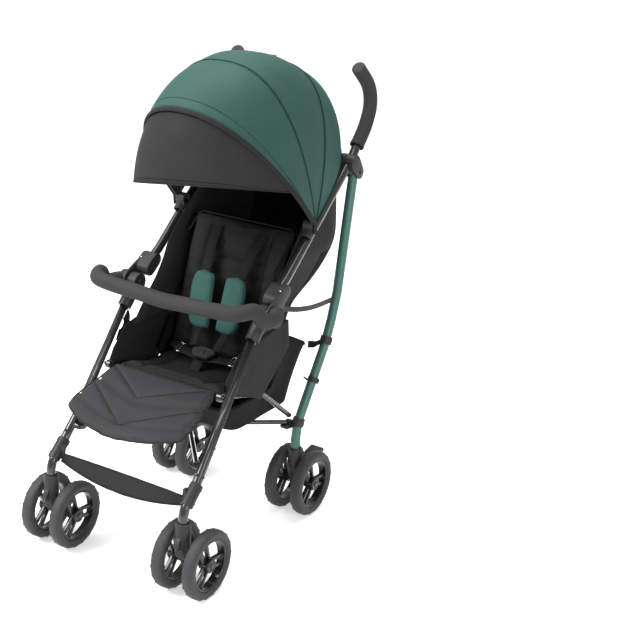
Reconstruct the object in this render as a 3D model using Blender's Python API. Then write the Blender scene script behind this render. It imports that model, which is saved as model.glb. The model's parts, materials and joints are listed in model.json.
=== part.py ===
"""Folding umbrella stroller, modelled piece by piece in metres, +Z up, front towards -Y."""

import math

import bmesh
import bpy
from mathutils import Matrix, Vector

# Wheels and axles
WHEEL_R = 0.075
TYRE_W = 0.027
TYRE_BORE_R = 0.0563
TYRE_SHOULDER = 0.0075
WHEEL_SEGMENTS = 24
RIM_W = 0.020
RIM_WALL = 0.0038
HUB_R = 0.0125
HUB_W = 0.026
AXLE_R = 0.004
SPOKE_W = 0.0065
SPOKE_T = 0.009
SPOKE_SPREAD = 0.0085
SPOKE_PAIRS = 3
FRONT_TRACK = 0.350
REAR_TRACK = 0.322
FRONT_PAIR = 0.078
REAR_PAIR = 0.068
FRONT_AXLE_Y = -0.320
REAR_AXLE_Y = 0.1185
CASTER_TRAIL = 0.030

# Fits
GAP = 0.0003
ROUND_SIDES = 10

# Frame tubes
FRAME_WIDTH = 0.336
TUBE_R = 0.0105
LEG_R = 0.0110
RAIL_R = 0.0060
BRACE_R = 0.0055
GRIP_R = 0.0155
GRIP_TIP = 0.004

# Joints of the side frame, each as (y, z)
ARM_JOINT = (-0.065, 0.532)
UPPER_HINGE = (0.262, 0.794)
HINGE_DROP = 0.034
HANDLE_RISE = 0.185
SWIVEL_TOP_Z = 0.172
SWIVEL_JOIN_Z = 0.1158
RAIL_PIVOT = (-0.186, 0.381)
RAIL_ELBOW = (-0.030, 0.335)
RAIL_END = (0.090, 0.241)
BRACE_REAR = (0.104, 0.215)
BRACE_FRONT = (-0.265, 0.262)

# Plastic joint pieces
COLLAR_R = 0.0155
HUB_BLOCK_R = 0.016
ARM_PLATE_R = 0.026
ARM_PLATE_T = 0.0052
KNUCKLE_R = 0.021
PIN_R = 0.0060
HOUSING_W = 0.024
EAR_T = 0.006
SOCKET_R = 0.0165
PEDAL_W = 0.031
PEDAL_ROOT_W = 0.017
PEDAL_PIVOT = (0.137, 0.112)
PEDAL_TIP = (0.198, 0.121)

# Bumper bar
BUMPER_R = 0.0165
BUMPER_REACH = 0.128
BUMPER_RISE = 0.035
BUMPER_CORNER = 0.055
BUMPER_HUB_R = 0.0225
BUMPER_HUB_W = 0.016
BUTTON_R = 0.0115
BUTTON_DEPTH = 0.007
BUTTON_TRAVEL = 0.0025

# Canopy, each bow as angle in degrees, height over the pivot, reach past the tube's middle, squareness
CANOPY_PIVOT = (0.104, 0.688)
FRONT_BOW = (47.0, 0.369, 0.018, 2.3)
MIDDLE_BOW = (74.0, 0.371, 0.016, 2.6)
REAR_BOW = (105.0, 0.334, 0.015, 2.7)
HEM_BOW = (139.5, 0.262, 0.015, 3.0)
# Front hem of the sun visor, each point as share of the front bow's half width, y, z
VISOR_HEM = (
    (0.945, 0.005, 0.782),
    (0.645, -0.115, 0.806),
    (0.0, -0.165, 0.804),
    (-0.645, -0.134, 0.782),
    (-0.935, -0.045, 0.757),
)
VISOR_START = 0.34
VISOR_SWELL = 0.012
CLOTH_T = 0.0035
BOW_R = 0.0035
BOW_FOOT = 0.022
BOW_CLEARANCE = 0.0012
CLIP_W = 0.028
ARCH_COLUMNS = 19
BULGE = 0.005

# Seat fabrics
BACK_INSET = 0.0205
SEAT_T = 0.022
BACK_T = 0.026
LEG_REST_T = 0.020
SEAT_LINE = ((-0.168, 0.384), (-0.120, 0.366), (-0.060, 0.353), (0.016, 0.3580))
BACK_LINE = ((0.016, 0.362), (0.036, 0.440), (0.056, 0.520), (0.084, 0.600), (0.124, 0.664))
LEG_REST_TOP = (-0.1710, 0.3855)
LEG_REST_TOE = (-0.320, 0.339)
LEG_REST_INSET = 0.013
LEG_REST_BOW = 0.046
COVER_T = 0.004
BASKET_FLOOR_Z = 0.262
BASKET_T = 0.004
BASKET_FRONT_Y = -0.150
BASKET_REAR_Y = 0.158
BASKET_LOW_RIM = 0.066
BASKET_HIGH_RIM = 0.168
BASKET_REAR_RIM = 0.128
STRAP_T = 0.0025
PAD_CROWN = 0.47
WEB_W = 0.025
SHOULDER_X = 0.044
STRAP_TOP_X = 0.060
PAD_TOP = (0.020, 0.563)
PAD_LOW = (-0.013, 0.440)
PAD_HALF_W = 0.0285
PAD_T = 0.018
PAD_TOE_IN = 0.007
STRAP_TOP_Z = 0.640
BUCKLE_AT = (-0.048, 0.396)
BUCKLE_T = 0.011


def clear_scene():
    for old in list(bpy.data.objects):
        bpy.data.objects.remove(old)


def material(name, colour, roughness, metallic=0.0):
    made = bpy.data.materials.new(name)
    made.use_nodes = True
    shader = made.node_tree.nodes["Principled BSDF"]
    shader.inputs["Base Color"].default_value = (*colour, 1.0)
    shader.inputs["Roughness"].default_value = roughness
    shader.inputs["Metallic"].default_value = metallic
    return made


def at(side, x, yz):
    return Vector((side * x, yz[0], yz[1]))


def along(start, towards, distance):
    """The (y, z) point at a distance from start on the line towards another point."""
    dy, dz = towards[0] - start[0], towards[1] - start[1]
    length = math.hypot(dy, dz)
    return (start[0] + dy / length * distance, start[1] + dz / length * distance)


def word(side):
    return "left" if side > 0 else "right"


def add_piece(name, bm, finish, pivot=(0.0, 0.0, 0.0)):
    """Turns a bmesh in world coordinates into an object whose origin is at the pivot."""
    bmesh.ops.recalc_face_normals(bm, faces=bm.faces)
    mesh = bpy.data.meshes.new(name)
    bm.to_mesh(mesh)
    bm.free()
    mesh.transform(Matrix.Translation(-Vector(pivot)))
    mesh.shade_smooth()
    mesh.set_sharp_from_angle(angle=math.radians(40))
    mesh.materials.append(finish)
    piece = bpy.data.objects.new(name, mesh)
    piece.location = pivot
    bpy.context.scene.collection.objects.link(piece)
    return piece


def combine(piece, tool_bm, operation):
    """Joins a tool shape to the piece, or cuts it away, with an exact Boolean."""
    tool = add_piece(piece.name + "_tool", tool_bm, piece.data.materials[0])
    tool.hide_render = True
    tool.display_type = "WIRE"
    change = piece.modifiers.new(operation.title(), "BOOLEAN")
    change.operation = operation
    change.solver = "EXACT"
    change.object = tool


def ring(bm, centre, normal, radius, sides, start=0.0):
    """Vertices on a circle, turned the same way for any nearby normals."""
    axis = Vector(normal).normalized()
    across = Vector((1, 0, 0)) if abs(axis.x) < 0.9 else Vector((0, 0, 1))
    u = (across - axis * across.dot(axis)).normalized()
    v = axis.cross(u)
    steps = [start + math.tau * k / sides for k in range(sides)]
    return [bm.verts.new(Vector(centre) + radius * (u * math.cos(t) + v * math.sin(t))) for t in steps]


def bridge(bm, first, second):
    count = len(first)
    for k in range(count):
        bm.faces.new((first[k], first[(k + 1) % count], second[(k + 1) % count], second[k]))


def loft(bm, rings, closed=False):
    """Skins rings in order, with flat ends, or as a closed loop."""
    for first, second in zip(rings, rings[1:]):
        bridge(bm, first, second)
    if closed:
        bridge(bm, rings[-1], rings[0])
    else:
        bm.faces.new(list(reversed(rings[0])))
        bm.faces.new(rings[-1])


def rod(bm, start, end, radius, sides=ROUND_SIDES):
    normal = Vector(end) - Vector(start)
    loft(bm, [ring(bm, start, normal, radius, sides), ring(bm, end, normal, radius, sides)])


def slab(bm, outline, x_low, x_high):
    """A (y, z) outline pushed along X."""
    low = [bm.verts.new((x_low, y, z)) for y, z in outline]
    high = [bm.verts.new((x_high, y, z)) for y, z in outline]
    loft(bm, [low, high])


def link_outline(start, start_r, end, end_r, steps=6):
    """The hull of two circles, as a (y, z) outline."""
    heading = math.atan2(end[1] - start[1], end[0] - start[0])
    distance = math.hypot(end[0] - start[0], end[1] - start[1])
    tilt = math.acos((start_r - end_r) / distance)
    points = []
    for centre, radius, low, high in (
        (end, end_r, -tilt, tilt),
        (start, start_r, tilt, math.tau - tilt),
    ):
        for k in range(steps + 1):
            t = heading + low + (high - low) * k / steps
            points.append((centre[0] + radius * math.cos(t), centre[1] + radius * math.sin(t)))
    return points


def curve_through(points, steps):
    """Points of a Catmull-Rom curve."""
    pts = [Vector(p) for p in points]
    ends = [pts[0] * 2 - pts[1], *pts, pts[-1] * 2 - pts[-2]]
    path = []
    for k in range(1, len(ends) - 2):
        a, b, c, d = ends[k - 1 : k + 3]
        for n in range(steps):
            t = n / steps
            bend = (2 * a - 5 * b + 4 * c - d) * t**2 + (3 * b - a - 3 * c + d) * t**3
            path.append(0.5 * (2 * b + (c - a) * t + bend))
    return [*path, pts[-1]]


def bends_only(path, least=math.radians(4.5)):
    """The path without the points where it runs nearly straight."""
    kept = [path[0]]
    heading = path[1] - path[0]
    for before, point, after in zip(path, path[1:], path[2:]):
        if heading.angle(after - point) > least:
            kept.append(point)
            heading = after - point
    return [*kept, path[-1]]


def smooth_path(points, steps=4):
    return bends_only(curve_through(points, steps))


def lengthened(path, by):
    """The path with both ends run straight on."""
    first = path[0] + (path[0] - path[1]).normalized() * by
    last = path[-1] + (path[-1] - path[-2]).normalized() * by
    return [first, *path[1:-1], last]


def tube(bm, path, radius, sides=ROUND_SIDES, tip=0.0):
    """A round bar along a path, its rings square to the path, with a rounded far end if it has a tip."""
    rings = []
    for k, point in enumerate(path):
        before = path[max(k - 1, 0)]
        after = path[min(k + 1, len(path) - 1)]
        heading = (point - before).normalized() + (after - point).normalized()
        rings.append(ring(bm, point, heading, radius, sides))
    if tip:
        heading = (path[-1] - path[-2]).normalized()
        rings.append(ring(bm, path[-1] + heading * tip, heading, radius - tip, sides))
    loft(bm, rings)


def cut_for_tube(piece, path, radius):
    """Bores the piece for the tube that follows the path, with the fit's gap all round."""
    bore = bmesh.new()
    tube(bore, lengthened(path, GAP), radius + GAP)
    combine(piece, bore, "DIFFERENCE")


def turned_ring(bm, profile, centre, segments):
    """A closed (radius, x) profile turned round an axis along X, with a corner at the bottom."""
    rows = []
    for k in range(segments):
        t = math.tau * k / segments
        offset = [Vector((dx, r * math.sin(t), -r * math.cos(t))) for r, dx in profile]
        rows.append([bm.verts.new(Vector(centre) + o) for o in offset])
    loft(bm, rows, closed=True)


def turned_x(bm, profile, centre, sides=ROUND_SIDES):
    """An open (radius, x) profile turned round an axis along X, flat at both ends."""
    axis = (1, 0, 0)
    loft(bm, [ring(bm, Vector(centre) + Vector((dx, 0, 0)), axis, r, sides) for r, dx in profile])


def turned_z(bm, profile, x, y, sides=ROUND_SIDES):
    """An open (radius, z) profile turned round a vertical axis, flat at both ends."""
    loft(bm, [ring(bm, (x, y, z), (0, 0, 1), r, sides) for r, z in profile])


def closed_sheet(bm, outer, inner, wraps=False):
    """Two matching grids of points joined along their borders into one closed skin."""
    grids = [[[bm.verts.new(p) for p in row] for row in grid] for grid in (outer, inner)]
    rows, columns = len(outer), len(outer[0])
    for grid in grids:
        for i in range(rows - 1):
            for j in range(columns if wraps else columns - 1):
                n = (j + 1) % columns
                bm.faces.new((grid[i][j], grid[i][n], grid[i + 1][n], grid[i + 1][j]))
    top, under = grids
    for i in (0, rows - 1):
        for j in range(columns if wraps else columns - 1):
            n = (j + 1) % columns
            bm.faces.new((top[i][j], top[i][n], under[i][n], under[i][j]))
    if not wraps:
        for j in (0, columns - 1):
            for i in range(rows - 1):
                bm.faces.new((top[i][j], top[i + 1][j], under[i + 1][j], under[i][j]))


# Shared places worked out from the driving sizes
TUBE_X = FRAME_WIDTH / 2
CASTER_X = FRONT_TRACK / 2
REAR_X = REAR_TRACK / 2
CASTER_Y = FRONT_AXLE_Y - CASTER_TRAIL
UP_THE_TUBE = (0.013, 0.588)
DOWN_THE_LEG = (-0.114, 0.481)
REAR_PIVOT = (
    UPPER_HINGE[0] + HINGE_DROP * 0.65,
    UPPER_HINGE[1] - HINGE_DROP * 0.76,
)
TUBE_TOP = (UPPER_HINGE[0] + 0.027, UPPER_HINGE[1] + 0.029)
INNER_X = TUBE_X - TUBE_R
PLATE_X = TUBE_X + COLLAR_R + GAP
SLOT_HALF = LEG_R + 2 * GAP
LEG_FOLDED = math.radians(-141.0)
LEG_FOOT_Z = 0.136
LEG_FOOT_Y = REAR_AXLE_Y - 0.0185
RAIL_X = INNER_X - GAP - 0.0045 - RAIL_R
SWIVEL_X = REAR_X - LEG_R - 0.009
SWIVEL_T = 0.0150
BRACE_LIFT = BRACE_R + 0.0010
BUMPER_X = PLATE_X + ARM_PLATE_T + GAP + BUMPER_R


def upper_tube_path(side):
    straight = [along(ARM_JOINT, UP_THE_TUBE, d) for d in (0.034, 0.088, 0.108)]
    points = [*straight, (0.092, 0.662), (0.178, 0.730), UPPER_HINGE, TUBE_TOP]
    return smooth_path([at(side, TUBE_X, p) for p in points], 3)


def make_upper_tube(side, finish):
    bm = bmesh.new()
    tube(bm, upper_tube_path(side), TUBE_R)
    add_piece(f"upper_tube_{word(side)}", bm, finish, at(side, TUBE_X, ARM_JOINT))


def make_grip(side, finish):
    top, rise = TUBE_TOP, HANDLE_RISE
    route = [
        (TUBE_X, top[0] + 0.001, top[1] + 0.001),
        (TUBE_X - 0.001, top[0] + 0.036, top[1] + rise * 0.21),
        (TUBE_X - 0.003, top[0] + 0.058, top[1] + rise * 0.45),
        (TUBE_X - 0.006, top[0] + 0.050, top[1] + rise * 0.69),
        (TUBE_X - 0.009, top[0] + 0.006, top[1] + rise * 0.93),
    ]
    bm = bmesh.new()
    path = smooth_path([Vector((side * x, y, z)) for x, y, z in route], 4)
    tube(bm, path, GRIP_R, 12, GRIP_TIP)
    add_piece(f"grip_{word(side)}", bm, finish, path[0])


def make_upper_hinge(side, finish):
    """Housing clamped round the upper tube, with two ears and a pin for the rear leg."""
    low_x, high_x = TUBE_X - SLOT_HALF - EAR_T, TUBE_X + SLOT_HALF + EAR_T
    bm = bmesh.new()
    slab(bm, link_outline(UPPER_HINGE, 0.018, REAR_PIVOT, 0.014), side * low_x, side * high_x)
    piece = add_piece(f"upper_hinge_{word(side)}", bm, finish, at(side, TUBE_X, REAR_PIVOT))
    cut_for_tube(piece, upper_tube_path(side), TUBE_R)
    slot = bmesh.new()
    slot_x = TUBE_X - SLOT_HALF
    rod(slot, at(side, slot_x, REAR_PIVOT), at(side, TUBE_X + SLOT_HALF, REAR_PIVOT), 0.0165, 20)
    combine(piece, slot, "DIFFERENCE")
    swing = bmesh.new()
    folded = Vector((math.cos(LEG_FOLDED), math.sin(LEG_FOLDED)))
    clear = Vector((folded.y, -folded.x)) * (LEG_R + 4 * GAP)
    pivot = Vector(REAR_PIVOT)
    outline = [pivot, pivot + Vector((0.0, -0.05)), pivot + folded * 0.05 + clear, pivot + clear]
    slab(swing, outline, side * slot_x, side * (TUBE_X + SLOT_HALF))
    combine(piece, swing, "DIFFERENCE")
    pin = bmesh.new()
    rod(pin, at(side, low_x - 0.002, REAR_PIVOT), at(side, high_x + 0.002, REAR_PIVOT), 0.004)
    combine(piece, pin, "UNION")


def make_arm_hub(side, finish):
    """Housing clamped to the upper tube's foot, with a plate and a pin for the front leg."""
    block_low = along(ARM_JOINT, UP_THE_TUBE, 0.041)
    block_high = along(ARM_JOINT, UP_THE_TUBE, 0.068)
    plate_end = PLATE_X + ARM_PLATE_T
    bm = bmesh.new()
    block = link_outline(block_low, HUB_BLOCK_R, block_high, HUB_BLOCK_R - 0.001)
    slab(bm, block, side * (TUBE_X - HUB_BLOCK_R), side * plate_end)
    piece = add_piece(f"arm_hub_{word(side)}", bm, finish, at(side, TUBE_X, ARM_JOINT))
    plate = bmesh.new()
    slab(
        plate,
        link_outline(ARM_JOINT, ARM_PLATE_R, block_low, HUB_BLOCK_R + 0.002, 8),
        side * PLATE_X,
        side * plate_end,
    )
    combine(piece, plate, "UNION")
    pin = bmesh.new()
    disc_low = TUBE_X - TUBE_R - GAP
    turned_x(
        pin,
        [
            (0.010, side * (disc_low - 0.004)),
            (0.010, side * (disc_low - GAP)),
            (PIN_R, side * (disc_low - GAP)),
            (PIN_R, side * (PLATE_X + 0.001)),
        ],
        at(side, 0.0, ARM_JOINT),
    )
    combine(piece, pin, "UNION")
    cut_for_tube(piece, upper_tube_path(side), TUBE_R)


def front_leg_path(side):
    bend = (CASTER_Y + 0.009, 0.206)
    points = [
        (TUBE_X, *along(ARM_JOINT, DOWN_THE_LEG, 0.0245)),
        (TUBE_X, *along(ARM_JOINT, DOWN_THE_LEG, 0.064)),
        (TUBE_X, *along(ARM_JOINT, DOWN_THE_LEG, 0.075)),
        (TUBE_X + 0.001, *RAIL_PIVOT),
        (TUBE_X + 0.003, -0.268, 0.283),
        (CASTER_X, CASTER_Y + 0.033, 0.228),
        (CASTER_X, *bend),
        (CASTER_X, CASTER_Y, SWIVEL_TOP_Z + 0.014),
        (CASTER_X, CASTER_Y, SWIVEL_TOP_Z + 0.003),
        (CASTER_X, CASTER_Y, SWIVEL_JOIN_Z + 0.0265),
    ]
    return smooth_path([Vector((side * x, y, z)) for x, y, z in points], 3)


def make_front_leg(side, finish):
    """Lower front tube with the riveted lug that the cross brace ends at.

    Both legs are made as the right-hand one, and the left is then turned into its mirror.
    """
    bm = bmesh.new()
    tube(bm, front_leg_path(-1), TUBE_R)
    piece = add_piece(f"front_leg_{word(side)}", bm, finish, at(-1, TUBE_X, ARM_JOINT))
    lug = bmesh.new()
    outline = link_outline((-0.283, 0.266), 0.0070, BRACE_FRONT, 0.0085)
    slab(lug, outline, 0.006 - INNER_X, -0.0075 - INNER_X)
    combine(piece, lug, "UNION")
    if side > 0:
        for shape in (piece, piece.modifiers[0].object):
            shape.location.x = -shape.location.x
            for vertex in shape.data.vertices:
                vertex.co.x = -vertex.co.x
            shape.data.flip_normals()


def make_leg_knuckle(side, finish):
    """Disc that turns on the arm joint's pin, with a collar that grips the front leg."""
    disc_low, disc_high = TUBE_X - TUBE_R, TUBE_X + TUBE_R
    bm = bmesh.new()
    rod(bm, at(side, disc_low, ARM_JOINT), at(side, disc_high, ARM_JOINT), KNUCKLE_R, 20)
    piece = add_piece(f"leg_knuckle_{word(side)}", bm, finish, at(side, TUBE_X, ARM_JOINT))
    grip = bmesh.new()
    start = at(side, TUBE_X, along(ARM_JOINT, DOWN_THE_LEG, 0.012))
    end = at(side, TUBE_X, along(ARM_JOINT, DOWN_THE_LEG, 0.062))
    rod(grip, start, end, COLLAR_R)
    combine(piece, grip, "UNION")
    cut_for_tube(piece, front_leg_path(side), TUBE_R)
    hole = bmesh.new()
    low, high = at(side, disc_low - 0.01, ARM_JOINT), at(side, disc_high + 0.01, ARM_JOINT)
    rod(hole, low, high, PIN_R + GAP, 20)
    combine(piece, hole, "DIFFERENCE")


def make_caster_socket(side, finish):
    bm = bmesh.new()
    profile = [
        (SOCKET_R, SWIVEL_JOIN_Z),
        (SOCKET_R, SWIVEL_TOP_Z - 0.004),
        (SOCKET_R - 0.002, SWIVEL_TOP_Z),
    ]
    turned_z(bm, profile, side * CASTER_X, CASTER_Y)
    piece = add_piece(f"caster_socket_{word(side)}", bm, finish, (side * CASTER_X, CASTER_Y, 0))
    tab = bmesh.new()
    front = CASTER_Y - SOCKET_R
    outline = [
        (front + 0.004, 0.118),
        (front - 0.006, 0.119),
        (front - 0.009, 0.124),
        (front - 0.002, 0.140),
        (front + 0.004, 0.144),
    ]
    slab(tab, outline, side * (CASTER_X - 0.006), side * (CASTER_X + 0.006))
    combine(piece, tab, "UNION")
    cut_for_tube(piece, front_leg_path(side), TUBE_R)


def make_fork(side, finish):
    """Caster block that swivels under the socket and carries the front axle."""
    top = SWIVEL_JOIN_Z - GAP
    bm = bmesh.new()
    neck = (CASTER_Y + 0.001, top - 0.013)
    outline = link_outline(neck, 0.0125, (FRONT_AXLE_Y, WHEEL_R), 0.017, 8)
    slab(bm, outline, side * (CASTER_X - HOUSING_W / 2), side * (CASTER_X + HOUSING_W / 2))
    piece = add_piece(f"caster_fork_{word(side)}", bm, finish, (side * CASTER_X, CASTER_Y, 0))
    cup = bmesh.new()
    profile = [(0.013, top - 0.022), (SOCKET_R, top - 0.012), (SOCKET_R, top)]
    turned_z(cup, profile, side * CASTER_X, CASTER_Y)
    combine(piece, cup, "UNION")
    cut_axle_hole(piece, side, CASTER_X, FRONT_AXLE_Y)


def cut_axle_hole(piece, side, x, y):
    hole = bmesh.new()
    centre = (y, WHEEL_R)
    rod(hole, at(side, x - HOUSING_W, centre), at(side, x + HOUSING_W, centre), AXLE_R + GAP)
    combine(piece, hole, "DIFFERENCE")


def rear_leg_path(side):
    start = along(REAR_PIVOT, (0.262, 0.655), 0.0050)
    points = [
        (TUBE_X, *start),
        (TUBE_X, 0.265, 0.655),
        (TUBE_X, 0.248, 0.530),
        (TUBE_X - 0.001, 0.210, 0.408),
        (TUBE_X - 0.002, 0.155, 0.308),
        (REAR_X + 0.001, 0.112, 0.235),
        (REAR_X, LEG_FOOT_Y, 0.190),
        (REAR_X, LEG_FOOT_Y, 0.168),
        (REAR_X, LEG_FOOT_Y, LEG_FOOT_Z),
    ]
    return smooth_path([Vector((side * x, y, z)) for x, y, z in points], 4)


def make_rear_leg(side, finish):
    bm = bmesh.new()
    tube(bm, rear_leg_path(side), LEG_R)
    add_piece(f"rear_leg_{word(side)}", bm, finish, at(side, TUBE_X, REAR_PIVOT))


def make_rear_housing(side, finish):
    """Wheel block on the rear leg's foot, with the axle hole and ears for the brake pedal."""
    low, high = REAR_X - HOUSING_W / 2, REAR_X + HOUSING_W / 2
    bm = bmesh.new()
    neck = (LEG_FOOT_Y + 0.001, 0.112)
    slab(bm, link_outline(neck, 0.013, (REAR_AXLE_Y, WHEEL_R), 0.017, 8), side * low, side * high)
    piece = add_piece(f"rear_housing_{word(side)}", bm, finish, (side * REAR_X, REAR_AXLE_Y, WHEEL_R))
    socket = bmesh.new()
    profile = [
        (0.014, 0.102),
        (SOCKET_R, 0.112),
        (SOCKET_R, 0.158),
        (SOCKET_R - 0.002, 0.162),
    ]
    turned_z(socket, profile, side * REAR_X, LEG_FOOT_Y)
    combine(piece, socket, "UNION")
    cut_for_tube(piece, rear_leg_path(side), LEG_R)
    root = (LEG_FOOT_Y + 0.006, 0.117)
    for offset in (-1, 1):
        ear = bmesh.new()
        middle = REAR_X + offset * (PEDAL_ROOT_W / 2 + GAP + 0.002)
        outline = link_outline(root, 0.008, PEDAL_PIVOT, 0.0065)
        slab(ear, outline, side * (middle - 0.002), side * (middle + 0.002))
        combine(piece, ear, "UNION")
    pin = bmesh.new()
    reach = PEDAL_ROOT_W / 2 + 0.003
    rod(pin, at(side, REAR_X - reach, PEDAL_PIVOT), at(side, REAR_X + reach, PEDAL_PIVOT), 0.0025)
    combine(piece, pin, "UNION")
    cut_axle_hole(piece, side, REAR_X, REAR_AXLE_Y)


def make_brake_pedal(side, finish):
    bm = bmesh.new()
    half = PEDAL_ROOT_W / 2
    shank = along(PEDAL_PIVOT, PEDAL_TIP, 0.048)
    slab(
        bm,
        link_outline(PEDAL_PIVOT, 0.0060, shank, 0.0045),
        side * (REAR_X - half),
        side * (REAR_X + half),
    )
    piece = add_piece(f"brake_pedal_{word(side)}", bm, finish, at(side, REAR_X, PEDAL_PIVOT))
    pad = bmesh.new()
    pad_start = along(PEDAL_PIVOT, PEDAL_TIP, 0.036)
    slab(
        pad,
        link_outline(pad_start, 0.0050, PEDAL_TIP, 0.0060),
        side * (REAR_X - PEDAL_W / 2),
        side * (REAR_X + PEDAL_W / 2),
    )
    combine(piece, pad, "UNION")
    hole = bmesh.new()
    rod(hole, at(side, REAR_X - 0.03, PEDAL_PIVOT), at(side, REAR_X + 0.03, PEDAL_PIVOT), 0.0028)
    combine(piece, hole, "DIFFERENCE")


def rim_mesh(finish):
    """One wheel centre: barrel, hub with a capped outer end, and paired spokes, facing +X."""
    bm = bmesh.new()
    half, outer = RIM_W / 2, TYRE_BORE_R - GAP
    barrel = [(outer, -half), (outer, half), (outer - RIM_WALL, half), (outer - RIM_WALL, -half)]
    turned_ring(bm, barrel, (0, 0, 0), WHEEL_SEGMENTS)
    piece = add_piece("rim_pattern", bm, finish)
    hub = bmesh.new()
    face = HUB_W / 2
    profile = [(HUB_R, -face), (HUB_R + 0.002, face), (HUB_R - 0.001, face + 0.003)]
    turned_x(hub, profile, (0, 0, 0), 12)
    combine(piece, hub, "UNION")
    for k in range(SPOKE_PAIRS):
        angle = math.tau * k / SPOKE_PAIRS
        for side in (-1, 1):
            spoke = bmesh.new()
            low = side * SPOKE_SPREAD - SPOKE_W / 2
            high = side * SPOKE_SPREAD + SPOKE_W / 2
            inner, tip = HUB_R * 0.55, outer - RIM_WALL * 0.5
            outline = [(low, inner), (high, inner), (high, tip), (low, tip)]
            slab(spoke, outline, -SPOKE_T / 2, SPOKE_T / 2)
            spoke.transform(Matrix.Rotation(angle, 4, "X"))
            combine(piece, spoke, "UNION")
    bpy.context.view_layer.update()
    shape = bpy.data.meshes.new_from_object(piece.evaluated_get(bpy.context.evaluated_depsgraph_get()))
    piece.hide_render = True
    piece.display_type = "WIRE"
    return shape


def tyre_profile():
    half = TYRE_W / 2
    return [
        (TYRE_BORE_R, -half * 0.78),
        (WHEEL_R - TYRE_SHOULDER, -half),
        (WHEEL_R, -half * 0.50),
        (WHEEL_R, half * 0.50),
        (WHEEL_R - TYRE_SHOULDER, half),
        (TYRE_BORE_R, half * 0.78),
    ]


def make_wheel_pair(name, side, x, y, spacing, rim_shape, looks):
    """Two foam tyres and, as one turning piece, the two wheel centres on their live axle."""
    centre = Vector((side * x, y, WHEEL_R))
    axle = bmesh.new()
    reach = Vector((spacing / 2, 0, 0))
    rod(axle, centre - reach, centre + reach, AXLE_R)
    wheelset = add_piece(f"wheelset_{name}", axle, looks["rim"], centre)
    for outward in (-1, 1):
        place = centre + outward * reach
        tyre = bmesh.new()
        turned_ring(tyre, tyre_profile(), place, WHEEL_SEGMENTS)
        which = "outer" if outward == side else "inner"
        add_piece(f"tyre_{name}_{which}", tyre, looks["tyre"], centre)
        rim = bmesh.new()
        rim.from_mesh(rim_shape)
        turn = Matrix.Rotation(0.0 if outward > 0 else math.pi, 4, "Z")
        rim.transform(Matrix.Translation(place) @ turn)
        combine(wheelset, rim, "UNION")


def make_seat_rail(side, finish):
    """Side bar under the seat, pinned to the front leg and cranked down to the rear leg."""
    bm = bmesh.new()
    route = [
        RAIL_PIVOT,
        along(RAIL_PIVOT, RAIL_ELBOW, 0.07),
        along(RAIL_ELBOW, RAIL_PIVOT, 0.03),
        RAIL_ELBOW,
        along(RAIL_ELBOW, RAIL_END, 0.03),
        RAIL_END,
    ]
    tube(bm, smooth_path([at(side, RAIL_X, p) for p in route], 2), RAIL_R, 10)
    piece = add_piece(f"seat_rail_{word(side)}", bm, finish, at(side, RAIL_X, RAIL_PIVOT))
    eye = bmesh.new()
    turned_x(
        eye,
        [
            (0.0095, side * (RAIL_X - RAIL_R)),
            (0.0095, side * (RAIL_X + RAIL_R - 0.001)),
            (0.0050, side * (RAIL_X + RAIL_R - 0.001)),
            (0.0050, side * (INNER_X + 0.0005)),
        ],
        at(side, 0.0, RAIL_PIVOT),
    )
    combine(piece, eye, "UNION")


def brace_frame():
    """Unit vectors of the brace plane: forward along the brace, and its upward normal."""
    forward = Vector((0, BRACE_FRONT[0] - BRACE_REAR[0], BRACE_FRONT[1] - BRACE_REAR[1])).normalized()
    return forward, Vector((0, -forward.z, forward.y)) * -1


def x_at_height(path, z):
    """How far out a falling path is at a height."""
    for above, below in zip(path, path[1:]):
        if above.z >= z >= below.z:
            return abs(above.lerp(below, (above.z - z) / (above.z - below.z)).x)
    return abs(path[-1].x)


def make_brace_swivel(side, finish):
    """Knuckle that turns on the inside of the rear leg and carries the cross brace."""
    forward, up = brace_frame()
    tip = (BRACE_REAR[0] + forward.y * 0.022, BRACE_REAR[1] + forward.z * 0.022)
    bm = bmesh.new()
    low, high = SWIVEL_X - SWIVEL_T / 2, SWIVEL_X + SWIVEL_T / 2
    slab(bm, link_outline(BRACE_REAR, 0.0095, tip, 0.0085), side * low, side * high)
    piece = add_piece(f"brace_swivel_{word(side)}", bm, finish, at(side, SWIVEL_X, BRACE_REAR))
    seat = bmesh.new()
    corner = []
    floor = BRACE_LIFT - BRACE_R - GAP
    for ahead, lift in ((0.0115, floor), (0.060, floor), (0.060, 0.03), (0.0115, 0.03)):
        place = forward * ahead + up * lift * side
        corner.append((BRACE_REAR[0] + place.y, BRACE_REAR[1] + place.z))
    slab(seat, corner, side * (low - 0.01), side * (high + 0.01))
    combine(piece, seat, "DIFFERENCE")
    boss = bmesh.new()
    reach = x_at_height(rear_leg_path(side), BRACE_REAR[1]) - LEG_R - GAP
    rod(boss, at(side, SWIVEL_X, BRACE_REAR), at(side, reach, BRACE_REAR), PIN_R)
    combine(piece, boss, "UNION")


def make_brace_bar(side, finish):
    """Diagonal of the cross brace: the left one passes over, the right one under."""
    forward, up = brace_frame()
    lift = up * BRACE_LIFT * side
    start = at(side, SWIVEL_X, BRACE_REAR) + forward * 0.0185 + lift
    lug_x = INNER_X - 0.006 - GAP
    end = at(-side, lug_x - BRACE_R * 0.8, BRACE_FRONT) + lift
    bm = bmesh.new()
    tube(bm, [start, start.lerp(end, 0.5), end], BRACE_R, 10)
    piece = add_piece(f"brace_bar_{word(side)}", bm, finish, start)
    if side > 0:
        rivet = bmesh.new()
        middle = start.lerp(end, 0.5)
        rod(rivet, middle + up * (BRACE_R + 0.002), middle - up * (BRACE_R + 0.0014), 0.0035, 10)
        combine(piece, rivet, "UNION")


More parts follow.
